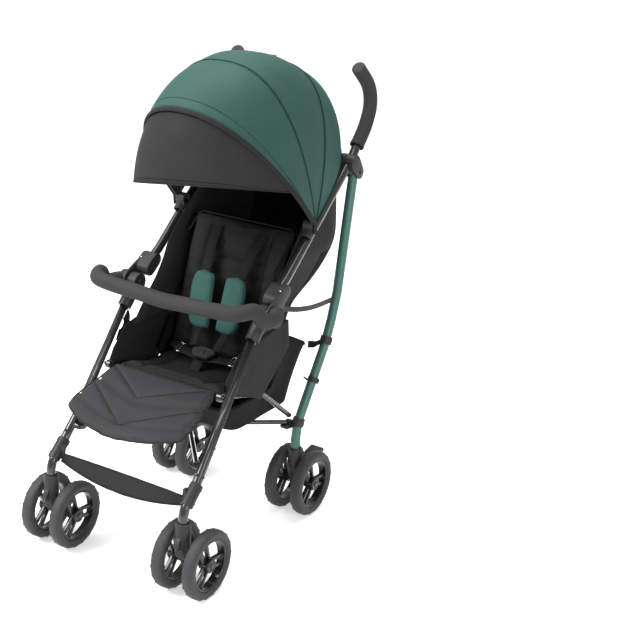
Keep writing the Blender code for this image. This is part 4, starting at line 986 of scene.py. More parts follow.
class STROLLER_OT_canopy(StrollerOperator):
    """Stretches the three cloth panels over their bows, with their seams and bindings"""

    bl_idname = "stroller.canopy"
    bl_label = "Canopy"

    def build(self, context):
        crease = context.scene.stroller_cloth.crease
        bows = (FRONT_BOW, MIDDLE_BOW, REAR_BOW, HEM_BOW)
        places = ("front", "middle", "rear")
        for place, arch in zip(places, bows):
            rod = circle(0.0034, 12)
            path = [arch_point(arch, phi, 0.0062) for phi in arch_angles(arch, ARCH_COLUMNS)]
            facing = [outward(p) for p in path]
            node = f"canopy_bow_{place}"
            body = body_of(node)
            folds_flat(cord_piece(f"{node}_finished", path, rod, facing, "plastic", body, (node,)))
        panels = []
        held_by = (("canopy_front", 0.0008), ("canopy_middle", 0.0016), ("frame_left", 0.0022))
        for k, (body, inset) in enumerate(held_by):
            name = f"canopy_panel_{places[k]}"
            panels.append(self.panel(name, bows[k], bows[k + 1], body, inset, crease, k + 1))
        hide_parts("canopy_cover")
        tunnel = mixed_bow(FRONT_BOW, MIDDLE_BOW, 0.15, BULGES[0])
        rim, hem = circle(0.0052, 12, 0.62), circle(0.0030, 10, 0.6)
        seam, stitch = circle(0.0011, 8), circle(0.0006, 6)
        bands = (
            ("front_binding", FRONT_BOW, "binding", "canopy_front", rim, 0.0005, -0.4),
            ("rear_binding", HEM_BOW, "binding", "frame_left", hem, 0.0015),
            ("seam_middle", MIDDLE_BOW, "seam", "canopy_middle", seam, 0.0002),
            ("seam_rear", REAR_BOW, "seam", "frame_left", seam, 0.0002),
            ("tunnel_stitch", tunnel, "seam", "canopy_front", stitch, 0.0010),
        )
        trims = [self.band(f"canopy_{name}", *rest) for name, *rest in bands]
        folds_flat(*panels, *trims, self.make_tab())

    def panel(self, name, first, second, body, inset, crease, seed):
        rows = 17
        grid = []
        for i in range(rows):
            share = i / (rows - 1)
            bow = mixed_bow(first, second, share, BULGES[seed - 1])
            row = []
            for phi in arch_angles(bow, ARCH_COLUMNS):
                point = arch_point(bow, phi, inset)
                row.append(point + outward(point) * self.relief(point, share, phi, seed, crease))
            grid.append(with_tails(row))
        return cloth_piece(name, grid, "green_cloth", body, CLOTH_T, sharp=45)

    def relief(self, point, share, phi, seed, crease):
        """How far the cloth stands off its plain arch."""
        held = math.sin(math.pi * min(1.0, max(0.0, share)))
        top = math.sin(phi)
        broad = ripple(point, 7.0, seed) * crease * 0.9 * held
        run = phi * 0.42
        pucker = 0.0
        for edge, reach in ((share, 0.10), (1 - share, 0.08)):
            near = math.exp(-((edge / reach) ** 2))
            wave = math.sin(run * math.tau / 0.021 + 2.5 * ripple(point, 30.0, seed))
            patchy = 0.35 + 0.65 * max(0.0, ripple(point, 11.0, seed + 4) + 0.4)
            pucker += near * wave * crease * 0.30 * patchy
        if seed == 1:
            ridge = math.exp(-(((share - 0.045) / 0.05) ** 2)) * 0.0012
            groove = -math.exp(-(((share - 0.15) / 0.022) ** 2)) * 0.0016
            beside = math.exp(-(((share - 0.20) / 0.06) ** 2))
            gathered = max(0.0, math.sin(run * math.tau / 0.034 + 3 * ripple(point, 14.0, 9.0)))
            low_side = max(0.0, min(1.0, (abs(math.cos(phi)) - 0.15) / 0.5))
            return broad + pucker + ridge + groove + beside * gathered * crease * 0.9 * low_side
        if seed == 2:
            slant = phi * 6.0 + share * 5.0
            patch = math.exp(-(((share - 0.30) / 0.22) ** 2)) * max(0.0, top - 0.35)
            drawn = max(0.0, math.sin(slant * 2.4 + 2 * ripple(point, 9.0, 2.0))) ** 2
            return broad + pucker + patch * drawn * crease * 1.7
        return broad + pucker + held * crease * 0.8 * math.sin(share * 5 + phi * 7)

    def band(self, name, bow, looks, body, outline, inset, shift=0.0):
        turned = (bow[0] + shift, *bow[1:])
        arch = [arch_point(turned, phi, inset) for phi in arch_angles(bow, ARCH_COLUMNS)]
        path = with_tails(arch)
        return cord_piece(name, path, outline, [outward(p) for p in path], looks, body)

    def make_tab(self):
        """Short loop of webbing at the top of the rear seam."""
        top = arch_point(REAR_BOW, math.pi / 2, 0.0)
        back = Vector((0, 0.7, 0.7))
        path = [
            top + Vector((0, -0.004, -0.001)),
            top + back * 0.004,
            top + back * 0.009,
            top + back * 0.006 + Vector((0, 0.006, -0.006)),
            top + Vector((0, 0.008, -0.008)),
        ]
        facing = Vector((0, 0.4, 1))
        return cord_piece("canopy_tab", path, tape(0.020, 0.0018), facing, "webbing", "frame_left")


class STROLLER_OT_visor(StrollerOperator):
    """Hangs the charcoal visor from the canopy's front rim"""

    bl_idname = "stroller.visor"
    bl_label = "Sun visor"

    def build(self, context):
        columns, rows = 61, 19
        angle, height, past_tube, square = FRONT_BOW
        rim_bow = (angle - 0.70, height - 0.005, past_tube - 0.001, square)
        span = math.pi - 2 * VISOR_START
        rim = [
            arch_point(rim_bow, VISOR_START + span * j / (columns - 1), 0.0004)
            for j in range(columns)
        ]
        half = TUBE_X + past_tube
        path = curve_through([at(share * half, y, z) for share, y, z in VISOR_HEM], 24)
        hem = [path[round((len(path) - 1) * j / (columns - 1))] for j in range(columns)]
        grid = []
        for i in range(rows):
            share = i / (rows - 1)
            swell = Vector((0, -1, 0.6)) * 0.012 * math.sin(math.pi * share)
            row = []
            for j in range(columns):
                across = j / (columns - 1)
                point = rim[j].lerp(hem[j], share) + swell * math.sin(math.pi * across)
                band = -0.0011 * math.exp(-(((share - 0.92) / 0.025) ** 2))
                corner = math.exp(-((across / 0.13) ** 2)) + math.exp(-(((1 - across) / 0.13) ** 2))
                wave = math.sin(share * 5.0 + across * 34.0)
                drawn = wave * 0.0022 * corner * math.sin(math.pi * share)
                soft = ripple(point, 9.0, 5.0) * 0.0016 * math.sin(math.pi * share)
                row.append(point + Vector((0, -0.8, 0.5)) * (band + drawn + soft))
            grid.append(row)
        body, ahead = "canopy_front", Vector((0, -1, 0.2))
        visor = cloth_piece("visor_cloth", grid, "charcoal", body, CLOTH_T, ("sun_visor",), 0.0, 45)
        rolled = cord_piece("visor_hem", hem, circle(0.0016, 8), ahead, "binding", body)
        line = [p + Vector((0, -0.0009, 0.0004)) for p in grid[round(0.92 * (rows - 1))]]
        thread = circle(0.0005, 6)
        stitched = cord_piece("visor_hem_stitch", line, thread, ahead, "dark_seam", body)
        folds_flat(visor, rolled, stitched)


def cover_row(share):
    """The back cover at a share of its height: side y, rear y, height, half width, roundness."""
    spot = share * (len(COVER_LEVELS) - 1)
    k = min(int(spot), len(COVER_LEVELS) - 2)
    t = spot - k
    rows = [COVER_LEVELS[max(0, min(len(COVER_LEVELS) - 1, k + d))] for d in (-1, 0, 1, 2)]
    made = []
    for a, b, c, d in zip(*rows):
        bend = (2 * a - 5 * b + 4 * c - d) * t**2 + (3 * b - a - 3 * c + d) * t**3
        made.append(0.5 * (2 * b + (c - a) * t + bend))
    return made


def wall_edge_y(z):
    """Where the grey side wall ends towards the rear at a height."""
    for (y0, z0), (y1, z1) in zip(WALL_REAR_EDGE, WALL_REAR_EDGE[1:]):
        if z <= z1:
            return y0 + (y1 - y0) * (z - z0) / (z1 - z0)
    return WALL_REAR_EDGE[-1][0]


class STROLLER_OT_cover(StrollerOperator):
    """Makes the tub of cloth round the seat back and the side walls under it"""

    bl_idname = "stroller.cover"
    bl_label = "Back cover and side walls"

    def build(self, context):
        rows, columns, inset = 41, 65, 0.0006
        grid = []
        for i in range(rows):
            side_y, rear_y, z, half, rear_round = cover_row(i / (rows - 1))
            row = []
            for j in range(columns):
                t = math.pi * j / (columns - 1)
                c, s = math.cos(t), math.sin(t)
                x = (half - inset) * math.copysign(abs(c) ** (rear_round * 0.75), c)
                y = side_y + (rear_y - side_y - inset) * abs(s) ** rear_round
                point = at(x, y, z)
                loose = abs(s) ** 2
                point.y -= loose * (0.0025 + 0.0030 * ripple(point, 9.0, 3.0))
                point.z += loose * 0.0012 * ripple(point, 16.0, 8.0)
                row.append(point)
            grid.append(row)
        bm = bmesh.new()
        grid_faces(bm, grid)
        cover = add_piece(
            "seat_back_cover", bm, "charcoal", "frame_left", ("back_cover",), 60, ("lining",),
        )
        for face in cover.data.polygons:
            row, column = divmod(face.index, columns - 1)
            from_side = min(column, columns - 2 - column)
            face.material_index = 0 if from_side < (23 if row >= 23 else 7) else 1
        thickened(cover, 0.0014)
        trims = [cover]
        for side in (1, -1):
            trims.append(self.make_wall(side))
        trims.append(self.make_lower_tub())
        trims.append(self.make_rear_flap(grid[-1]))
        tape_round = circle(0.0020, 8)
        top = cord_piece("cover_top_binding", grid[-1], tape_round, UP, "binding", "frame_left")
        trims.append(top)
        folds_flat(*trims)

    def make_rear_flap(self, cover_top):
        """Strip of cloth between the canopy's rear hem and the top of the back cover."""
        low_row = cover_top[4:-4]
        grid = []
        for share in (0.0, 0.2, 0.4, 0.6, 0.8, 1.0):
            row = []
            for j, low in enumerate(low_row):
                phi = 0.30 + (math.pi - 0.60) * (j + 0.5) / len(low_row)
                high = arch_point(HEM_BOW, phi, 0.004)
                spot = low.lerp(high, share)
                spot.y += 0.004 * math.sin(math.pi * share) * math.sin(phi)
                row.append(spot)
            grid.append(row)
        flap = cloth_piece("canopy_rear_flap", grid, "charcoal", "frame_left", 0.0010)
        return flap

    def make_lower_tub(self):
        """Cloth that closes the gap behind the seat between the two side walls."""
        levels = [
            (-0.030, 0.000, 0.3330),
            (-0.026, 0.050, 0.3350),
            (-0.022, 0.076, 0.3400),
            (-0.018, 0.089, 0.3520),
        ]
        for z in (0.375, 0.400, 0.425, 0.450, 0.462):
            levels.append((wall_edge_y(z) - 0.012, 0.092 + (z - 0.37) * 0.17, z))
        grid = []
        for y_side, y_rear, z in levels:
            row = []
            for j in range(49):
                t = math.pi * j / 48
                c, s = math.cos(t), math.sin(t)
                x = 0.1362 * math.copysign(abs(c) ** 0.25, c)
                point = at(x, y_side + (y_rear - y_side) * abs(s) ** 0.35, z)
                point.z += 0.0010 * ripple(point, 18.0, 2.0)
                row.append(point)
            grid.append(row)
        tub = cloth_piece("seat_tub_low", grid, "lining", "seat_left", CLOTH_T)
        return tub

    def make_wall(self, side):
        """Grey panel from the tub's lower edge down to the hem round the seat rail."""
        under_seat = [(0, -0.176, 0.386), (0, -0.150, 0.373), (0, -0.092, 0.351)]
        under_seat += [(0, -0.047, 0.330)]
        behind_seat = [(0, -0.044, 0.332), (0, 0.006, 0.370), (0, 0.062, 0.420)]
        high_line = [(0, -0.172, 0.412), (0, -0.150, 0.434), (0, -0.128, 0.456)]
        high_line += [(0, -0.06, 0.466), (0, 0.0, 0.472), (0, 0.066, 0.480)]
        low = evenly(curve_through(under_seat, 8) + curve_through(behind_seat, 6), 33)
        high = evenly([Vector(p) for p in high_line], 33)
        grid = []
        hem = []
        for spot in low:
            turned = max(0.0, min(1.0, (spot.y + 0.060) / 0.02)) * 0.0175
            hem.append(at(side * (WALL_X - turned), spot.y, spot.z + 0.003))
        grid.append(hem)
        for i in range(13):
            share = i / 12
            row = []
            for a, b in zip(low, high):
                spot = a.lerp(b, share)
                x = WALL_X - 0.0062 * share**1.5
                soft = 0.0012 * ripple(spot, 16.0, 4.0 + side) * math.sin(math.pi * share)
                row.append(at(side * (x - abs(soft)), spot.y, spot.z))
            grid.append(row)
        which = word(side)
        name, body = f"side_wall_{which}", f"seat_{which}"
        wall = cloth_piece(name, grid, "charcoal", body, 0.0010, offset=0.0)
        return wall


def swollen(piece, cap, voxel=0.005):
    """Lets the stuffing press the cover out evenly, no point further than the cap."""
    change = piece.modifiers.new("Even mesh", "REMESH")
    change.mode = "VOXEL"
    change.voxel_size = voxel
    applied(piece)
    start = [v.co.copy() for v in piece.data.vertices]
    press = piece.modifiers.new("Stuffing", "CLOTH")
    press.settings.quality = 4
    press.settings.mass = 0.2
    press.settings.tension_stiffness = 20
    press.settings.compression_stiffness = 20
    press.settings.use_pressure = True
    press.settings.uniform_pressure_force = 4.0
    press.settings.effector_weights.gravity = 0.0
    press.point_cache.frame_start = 1
    press.point_cache.frame_end = STUFFING_FRAMES
    scene = bpy.context.scene
    for number in range(1, STUFFING_FRAMES + 1):
        scene.frame_set(number)
    applied(piece)
    scene.frame_set(1)
    for vertex, before in zip(piece.data.vertices, start):
        shift = vertex.co - before
        if shift.length > cap:
            vertex.co = before + shift * (cap / shift.length)
    fine = piece.modifiers.new("Smooth", "SUBSURF")
    fine.levels = 1
    fine.render_levels = 1
    applied(piece)
    piece.data.shade_smooth()
    return piece


def pad_from(node, name, looks, body, shrink, cap):
    """A stuffed pad grown from a smaller copy of its node, kept inside the node's surface."""
    source = frame["nodes"][node].data
    bm = bmesh.new()
    bm.from_mesh(source)
    bmesh.ops.remove_doubles(bm, verts=bm.verts, dist=1e-5)
    bm.normal_update()
    moved = [(v, v.co - v.normal * shrink) for v in bm.verts]
    for vertex, goal in moved:
        vertex.co = goal
    piece = swollen(add_piece(name, bm, looks, body, (node,)), cap)
    skin = bmesh.new()
    skin.from_mesh(source)
    tree = BVHTree.FromBMesh(skin)
    for vertex in piece.data.vertices:
        spot, normal, _, _ = tree.find_nearest(vertex.co)
        if (vertex.co - spot).dot(normal) > 0.0004:
            vertex.co = spot + normal * 0.0004
    skin.free()
    return piece


def pressed_seams(piece, lines, depth, width, facing):
    """Presses sewn lines into the side of a pad that faces one way."""
    count = len(piece.data.vertices)
    places = numpy.empty(count * 3)
    piece.data.vertices.foreach_get("co", places)
    places = places.reshape(-1, 3)
    normals = numpy.array([tuple(v.normal) for v in piece.data.vertices])
    nearest = numpy.full(count, 1.0)
    for line in lines:
        for a, b in zip(line, line[1:]):
            start, run = numpy.array(a), numpy.array(b - a)
            share = numpy.clip((places - start) @ run / (run @ run), 0.0, 1.0)
            gap = places - start - share[:, None] * run
            gap -= normals * (gap * normals).sum(axis=1)[:, None]
            nearest = numpy.minimum(nearest, numpy.sqrt((gap * gap).sum(axis=1)))
    press = depth * numpy.exp(-((nearest / width) ** 2))
    press[normals @ numpy.array(facing) < 0.2] = 0.0
    places = places - normals * press[:, None]
    piece.data.vertices.foreach_set("co", places.ravel())
    piece.data.update()


def laid_on(piece, points, facing, lift):
    """Drops points onto the piece's surface from the side it faces."""
    bm = bmesh.new()
    bm.from_mesh(piece.data)
    tree = BVHTree.FromBMesh(bm)
    facing = Vector(facing).normalized()
    laid = []
    for point in points:
        spot, normal, _, _ = tree.ray_cast(point + facing * 0.08, -facing)
        laid.append((spot + normal * lift) if spot else point)
    bm.free()
    return laid


def along_line(line, share, x, out=0.0):
    """A point over a pad's side line, at a share of its length."""
    path = curve_through([(0, y, z) for y, z in line], 10)
    even = evenly(path, 101)
    k = max(0, min(99, int(share * 100)))
    spot = even[k].lerp(even[k + 1], share * 100 - k)
    ahead = (even[k + 1] - even[k]).normalized()
    normal = Vector((0, -ahead.z, ahead.y))
    if normal.z < 0 and abs(normal.z) > abs(normal.y):
        normal = -normal
    return at(x, spot.y + normal.y * out, spot.z + normal.z * out)


def seam_cord(name, piece, lines, looks, body, facing, radius=0.0006, lift=0.0):
    bm = bmesh.new()
    for line in lines:
        path = laid_on(piece, evenly(line, 40), facing, lift)
        sweep(bm, path, circle(radius, 6), Vector(facing))
    return add_piece(name, bm, looks, body)


class STROLLER_OT_seat(StrollerOperator):
    """Stuffs the seat pad and the back pad and sews their channels"""

    bl_idname = "stroller.seat"
    bl_label = "Seat and back pads"

    def build(self, context):
        cap = context.scene.stroller_cloth.swell
        up, front = (0, 0.1, 1), (0, -0.95, 0.3)
        seat = pad_from("seat_pad", "seat_cushion", "quilt", "seat_left", 0.0022, cap)
        seams = [[along_line(SEAT_LINE, s / 12, x) for s in range(1, 12)] for x in (-0.082, 0.082)]
        pressed_seams(seat, seams, 0.0030, 0.0050, up)
        seat_thread = seam_cord("seat_thread", seat, seams, "dark_seam", "seat_left", up)
        back = pad_from("back_pad", "back_cushion", "quilt", "backrest", 0.0026, cap)
        sides = [[along_line(BACK_LINE, s / 12, x) for s in range(1, 12)] for x in (-0.080, 0.080)]
        cross = [
            [along_line(BACK_LINE, share, x / 100) for x in range(-8, 9, 2)]
            for share in (0.36, 0.71)
        ]
        pressed_seams(back, sides + cross, 0.0032, 0.0055, front)
        self.pucker(back)
        back_thread = seam_cord("back_thread", back, sides + cross, "dark_seam", "backrest", front)
        trim = self.make_back_trim(back, front)
        folds_flat(seat, back, seat_thread, back_thread, trim)

    def pucker(self, pad):
        """Small gathers that run away from the long seams."""
        for vertex in pad.data.vertices:
            if vertex.normal.y > -0.3:
                continue
            x = abs(vertex.co.x)
            near = math.exp(-(((x - 0.080) / 0.030) ** 2))
            wave = math.sin(vertex.co.z * math.tau / 0.030 + 3.0 * ripple(vertex.co, 20.0, 6.0))
            vertex.co += vertex.normal * near * wave * 0.0009

    def make_back_trim(self, back, front):
        """Piping round the pad's top, and the slotted patches that the straps pass through."""
        bm = bmesh.new()
        rim = []
        half = INNER_X - 0.0205
        for k in range(41):
            u = -1 + 2 * k / 40
            share = 0.985 - 0.16 * max(0.0, (abs(u) - 0.86) / 0.14) ** 2
            rim.append(along_line(BACK_LINE, share, u * half * (1.0 - 0.004), 0.006))
        sweep(bm, rim, circle(0.0022, 8), Vector((0, -1, 0.3)))
        for side in (1, -1):
            for height in (0.80, 0.62):
                x = side * 0.052
                line = [along_line(BACK_LINE, height + d, x) for d in (-0.035, 0.0, 0.035)]
                line = laid_on(back, line, front, 0.0012)
                sweep(bm, line, tape(0.034, 0.0018), Vector((0, -1, 0.3)))
                bar = [along_line(BACK_LINE, height, x + d) for d in (-0.020, 0.0, 0.020)]
                bar = laid_on(back, bar, front, 0.0026)
                sweep(bm, bar, tape(0.007, 0.0016), Vector((0, -1, 0.3)))
        return add_piece("back_pad_trim", bm, "webbing", "backrest")


class STROLLER_OT_leg_rest(StrollerOperator):
    """Stuffs the leg rest, with its two sewn chevrons and piped edge"""

    bl_idname = "stroller.leg_rest"
    bl_label = "Leg rest"

    def build(self, context):
        cap = context.scene.stroller_cloth.swell
        up = (0, -0.3, 1)
        pad = pad_from("leg_rest", "leg_rest_pad", "calf", "calf_rest", 0.0020, cap)
        for vertex in pad.data.vertices:
            toe = max(0.0, min(1.0, (-0.175 + BACK - vertex.co.y) / 0.17))
            toe = toe * toe * (3 - 2 * toe)
            vertex.co.x *= 1.0 + 0.050 * toe
            vertex.co.y -= 0.014 * toe
            vertex.co.z -= 0.009 * toe
        lines = []
        for corners in (
            ((-0.127, -0.192), (-0.014, -0.262), (0.110, -0.190)),
            ((-0.150, -0.243), (0.000, -0.342), (0.148, -0.236)),
        ):
            points = [at(x, y, 0.3945 + 0.312 * (y + 0.171)) for x, y in corners]
            line = []
            for a, b in zip(points, points[1:]):
                line += [a.lerp(b, n / 10) for n in range(10)]
            lines.append([*line, points[-1]])
        pressed_seams(pad, lines, 0.0034, 0.0052, up)
        thread = seam_cord("leg_rest_thread", pad, lines, "dark_seam", "calf_rest", up)
        outline = []
        for vertex in pad.data.vertices:
            if abs(vertex.normal.dot(Vector(up).normalized())) < 0.25:
                outline.append(vertex.co.copy())
        piping = self.make_piping(outline)
        folds_flat(pad, thread, piping)

    def make_piping(self, outline):
        """Cord round the pad's edge, from the widest point at each angle seen from above."""
        centre = at(0.0, -0.262, 0.0)
        best = {}
        for point in outline:
            flat = Vector((point.x, point.y - centre.y))
            key = int(math.degrees(math.atan2(flat.y, flat.x))) // 4
            if key not in best or flat.length > best[key][0]:
                best[key] = (flat.length, point)
        path = [best[key][1] for key in sorted(best)]
        path = [
            (path[k - 1] + path[k] * 2 + path[(k + 1) % len(path)]) / 4
            for k in range(len(path))
        ]
        cord = circle(0.0019, 8)
        return cord_piece("leg_rest_piping", path, cord, UP, "binding", "calf_rest", closed=True)


def basket_rim(y):
    """Rim height over the basket's floor: low under the seat, high behind it."""
    if y < 0.016:
        return 0.066
    if y < 0.080:
        return 0.066 + (0.168 - 0.066) * (y - 0.016) / (0.080 - 0.016)
    return 0.168 + (0.128 - 0.168) * (y - 0.080) / (BASKET_REAR_Y - 0.080)


def rounded_box(count, power):
    """Even points round a unit square with rounded corners."""
    path = []
    for k in range(count * 8 + 1):
        t = math.tau * k / (count * 8)
        c, s = math.cos(t), math.sin(t)
        x, y = (math.copysign(abs(part) ** power, part) for part in (c, s))
        path.append(Vector((x, y, 0)))
    return [(p.x, p.y) for p in evenly(path, count + 1)[:-1]]


class STROLLER_OT_basket(StrollerOperator):
    """Hangs the black net basket under the seat"""

    bl_idname = "stroller.basket"
    bl_label = "Basket"

    def build(self, context):
        columns, rows = 96, 15
        half = RAIL_X - RAIL_R - 0.0003
        boxy = rounded_box(columns, 0.22)
        floor_front, floor_rear = BASKET_FRONT_Y + 0.050, BASKET_REAR_Y - 0.030
        grid = []
        for i in range(-4, rows):
            share = max(0.0, i / (rows - 1))
            draw = 1.0 if i >= 0 else 1.0 - 0.24 * -i
            front = floor_front + (BASKET_FRONT_Y - floor_front) * share + 0.001
            rear = floor_rear + (BASKET_REAR_Y + 0.024 - floor_rear) * share
            width = half - 0.016 * (1 - share) - 0.001
            middle = (front + rear) / 2
            level = []
            for k, (u, v) in enumerate(boxy):
                t = math.tau * k / columns
                x = width * u * draw
                y = middle + (rear - front) * 0.5 * v * draw
                z = BASKET_FLOOR_Z + 0.0015 + basket_rim(y) * share
                point = at(x, y, z)
                soft = math.sin(math.pi * share) if i > 0 else 0.0
                fold = 0.0022 * math.sin(t * 17 + 3 * ripple(point, 8.0, 1.0)) * soft * share
                inward = at(0, middle, z) - point
                inward.z = 0
                if inward.length > 1e-6:
                    point += inward.normalized() * (0.0024 * soft + fold * 0.6)
                point.z += 0.0010 * ripple(point, 20.0, 7.0) * (1 - share)
                level.append(point)
            grid.append(level)
        bm = bmesh.new()
        verts = grid_faces(bm, grid, wraps=True)
        bm.faces.new(verts[0])
        basket = add_piece("net_basket", bm, "mesh", "seat_left", ("basket",), 60)
        thickened(basket, 0.0014, 1.0)
        roll = circle(0.0030, 8, 1.5)
        rim = cord_piece("basket_binding", grid[-1], roll, UP, "lining", "seat_left", closed=True)
        tapes = bmesh.new()
        for side in (1, -1):
            corner = at(side * 0.1385, BASKET_REAR_Y + 0.014, 0.3850)
            clamp = at(side * 0.1540, 0.1985, 0.3860)
            middle = corner.lerp(clamp, 0.5) + Vector((0, 0.002, -0.004))
            path = evenly([corner, middle, clamp], 7)
            sweep(tapes, path, tape(0.016, 0.0022), Vector((side, 0.4, 0)))
            low_corner = at(side * 0.1375, BASKET_REAR_Y + 0.004, 0.3080)
            low_clamp = at(side * 0.1535, 0.1570, 0.3040)
            sweep(tapes, evenly([low_corner, low_clamp], 5), circle(0.0022, 8), UP)
        held = add_piece("basket_tapes", tapes, "webbing", "seat_left")
        folds_flat(basket, rim, held)


class STROLLER_OT_foot_strap(StrollerOperator):
    """Makes the sagging strap between the front legs, with its bound edges"""

    bl_idname = "stroller.foot_strap"
    bl_label = "Foot strap"

    def build(self, context):
        y, z = -0.330, 0.2085
        reach = CASTER_X - TUBE_R - 0.0006
        grid = []
        for i in range(9):
            row = []
            for j in range(49):
                xi = -1 + 2 * j / 48
                sag = 1 - xi * xi
                deep = 0.0095 + 0.0145 * sag
                v = -1 + 2 * i / 8
                height = z - sag * 0.006 + deep * v
                swell = 0.0030 * (1 - v * v) * sag
                front = y - 0.010 * sag - swell + 0.0010 * ripple((xi * 3, v, 0), 2.0)
                row.append(at(reach * xi, front, height))
            grid.append(row)
        body = body_of("foot_strap")
        strap = cloth_piece("foot_strap_cloth", grid, "charcoal", body, 0.0020, ("foot_strap",))
        edges = bmesh.new()
        for row in (grid[0], grid[-1]):
            sweep(edges, row, circle(0.0018, 8), Vector((0, -1, 0)))
        binding = add_piece("foot_strap_binding", edges, "binding", body)
        folds_flat(strap, binding)


def border(grid):
    """The points or vertices round the edge of a grid, in order."""
    right = [row[-1] for row in grid[1:-1]]
    left = [row[0] for row in reversed(grid[1:-1])]
    return [*grid[0], *right, *reversed(grid[-1]), *left]


class STROLLER_OT_harness(StrollerOperator):
    """Threads the harness, with its padded sleeves, sliders and buckle"""

    bl_idname = "stroller.harness"
    bl_label = "Harness"

    def build(self, context):
        pieces = []
        for side in (1, -1):
            pieces += self.make_shoulder(side)
        pieces.append(self.make_webbing())
        pieces.append(self.make_sliders())
        folds_flat(*pieces)
        self.make_buckle()

    def make_shoulder(self, side):
        rows, columns = 25, 15
        x_top, x_low = side * SHOULDER_X, side * (SHOULDER_X - PAD_TOE_IN)
        top, low = at(0, *PAD_TOP), at(0, *PAD_LOW)
        ahead = (low - top).normalized()
        out = Vector((0, ahead.z, -ahead.y))
        if out.y > 0:
            out = -out
        faces = ([], [])
        for i in range(rows):
            t = i / (rows - 1)
            u = 2 * t - 1
            inner_w = PAD_HALF_W * (1 - abs(u) ** 14) ** 0.2 * 0.96
            outer_w = PAD_HALF_W * (1 - abs(u) ** (3.4 if t < 0.5 else 4.2)) ** 0.42
            x_mid = x_top + (x_low - x_top) * t
            spine = top.lerp(low, t)
            rows_here = ([], [])
            for j in range(columns):
                v = -1 + 2 * j / (columns - 1)
                w = outer_w if v > 0 else inner_w
                full = max(0.0, 1 - abs(v) ** 4) ** 0.5 * max(0.0, 1 - abs(u) ** 8) ** 0.5
                side_stitch = math.exp(-(((abs(v) - 0.82) / 0.07) ** 2))
                end_stitch = math.exp(-(((abs(u) - 0.90) / 0.04) ** 2))
                stitch = 1 - 0.16 * side_stitch - 0.16 * end_stitch
                spot = Vector((x_mid + side * v * w, spine.y, spine.z))
                for k, sign in enumerate((1, -1)):
                    rows_here[k].append(spot + out * (PAD_T * (0.10 + 0.36 * full * stitch) * sign))
            faces[0].append(rows_here[0])
            faces[1].append(rows_here[1])
        bm = bmesh.new()
        front = grid_faces(bm, faces[0])
        behind = grid_faces(bm, faces[1])
        a, b = border(front), border(behind)
        for k in range(len(a)):
            n = (k + 1) % len(a)
            bm.faces.new((a[k], a[n], b[n], b[k]))
        bmesh.ops.remove_doubles(bm, verts=bm.verts, dist=1e-6)
        which = word(side)
        node = f"shoulder_pad_{which}"
        body = body_of(node)
        pad = add_piece(f"shoulder_sleeve_{which}", bm, "pad_green", body, (node,), 70)
        edge = [(g + h) / 2 for g, h in zip(border(faces[0]), border(faces[1]))]
        edge = [p for k, p in enumerate(edge) if (p - edge[k - 1]).length > 0.0004]
        name, cord = f"shoulder_piping_{which}", circle(0.0012, 6)
        piping = cord_piece(name, edge, cord, out, "pad_green", body, closed=True)
        straps = bmesh.new()
        slot = along_line(BACK_LINE, 0.90, side * 0.060, 0.0155)
        upper, lower = Vector((x_top, *top.yz)), Vector((x_low, *low.yz))
        path = evenly([slot, slot.lerp(upper, 0.45) + out * 0.003, upper + ahead * 0.02], 9)
        sweep(straps, path, tape(0.025, 0.0024), out)
        clip = at(side * 0.030, BUCKLE_AT[0] + 0.010, BUCKLE_AT[1] + 0.012)
        path = evenly([lower - ahead * 0.02, lower + ahead * 0.006, clip], 9)
        sweep(straps, path, tape(0.020, 0.0024), out)
        strap = add_piece(f"shoulder_strap_{which}", straps, "webbing", body)
        return [pad, piping, strap]

    def make_webbing(self):
        y, z = BUCKLE_AT
        under = z - 0.0105
        bm = bmesh.new()
        for side in (1, -1):
            route = [
                at(side * 0.122, 0.004, 0.380),
                at(side * 0.112, 0.000, 0.386),
                at(side * 0.076, y + 0.020, under + 0.002),
                at(side * 0.040, y + 0.008, under + 0.004),
                at(side * 0.010, y + 0.003, under + 0.001),
            ]
            path = evenly(curve_through(route, 6), 18)
            sweep(bm, path, tape(0.022, 0.0024), Vector((0, -0.35, 1)))
        root = along_line(SEAT_LINE, 0.50, 0.0, 0.0118)
        route = [at(0, y + 0.004, under), at(0, y - 0.014, under - 0.003), root]
        sweep(bm, evenly(route, 9), tape(0.025, 0.0024), Vector((0, 0.2, 1)))
        return add_piece("lap_webbing", bm, "webbing", "seat_left", ("harness_webbing",))

    def make_sliders(self):
        """Wire frames that set the length of the lap straps."""
        bm = bmesh.new()
        for side, far in ((1, 0.072), (-1, 0.070)):
            centre = at(side * far, BUCKLE_AT[0] + 0.018, BUCKLE_AT[1] - 0.0060)
            corners = [(-0.0075, -0.0145), (0.0075, -0.0145), (0.0075, 0.0145), (-0.0075, 0.0145)]
            path = [centre + Vector((a, b * 0.95, b * 0.30)) for a, b in corners]
            round_path = []
            for k in range(4):
                a, b = path[k], path[(k + 1) % 4]
                round_path += [a.lerp(b, t) for t in (0.12, 0.5, 0.88)]
            sweep(bm, round_path, circle(0.0010, 8), Vector((0, -0.35, 1)), closed=True)
            bar = [centre + Vector((0, -0.0138, -0.0043)), centre + Vector((0, 0.0138, 0.0043))]
            sweep(bm, bar, circle(0.0010, 8), Vector((1, 0, 0)))
        return add_piece("strap_sliders", bm, "steel", "seat_left")

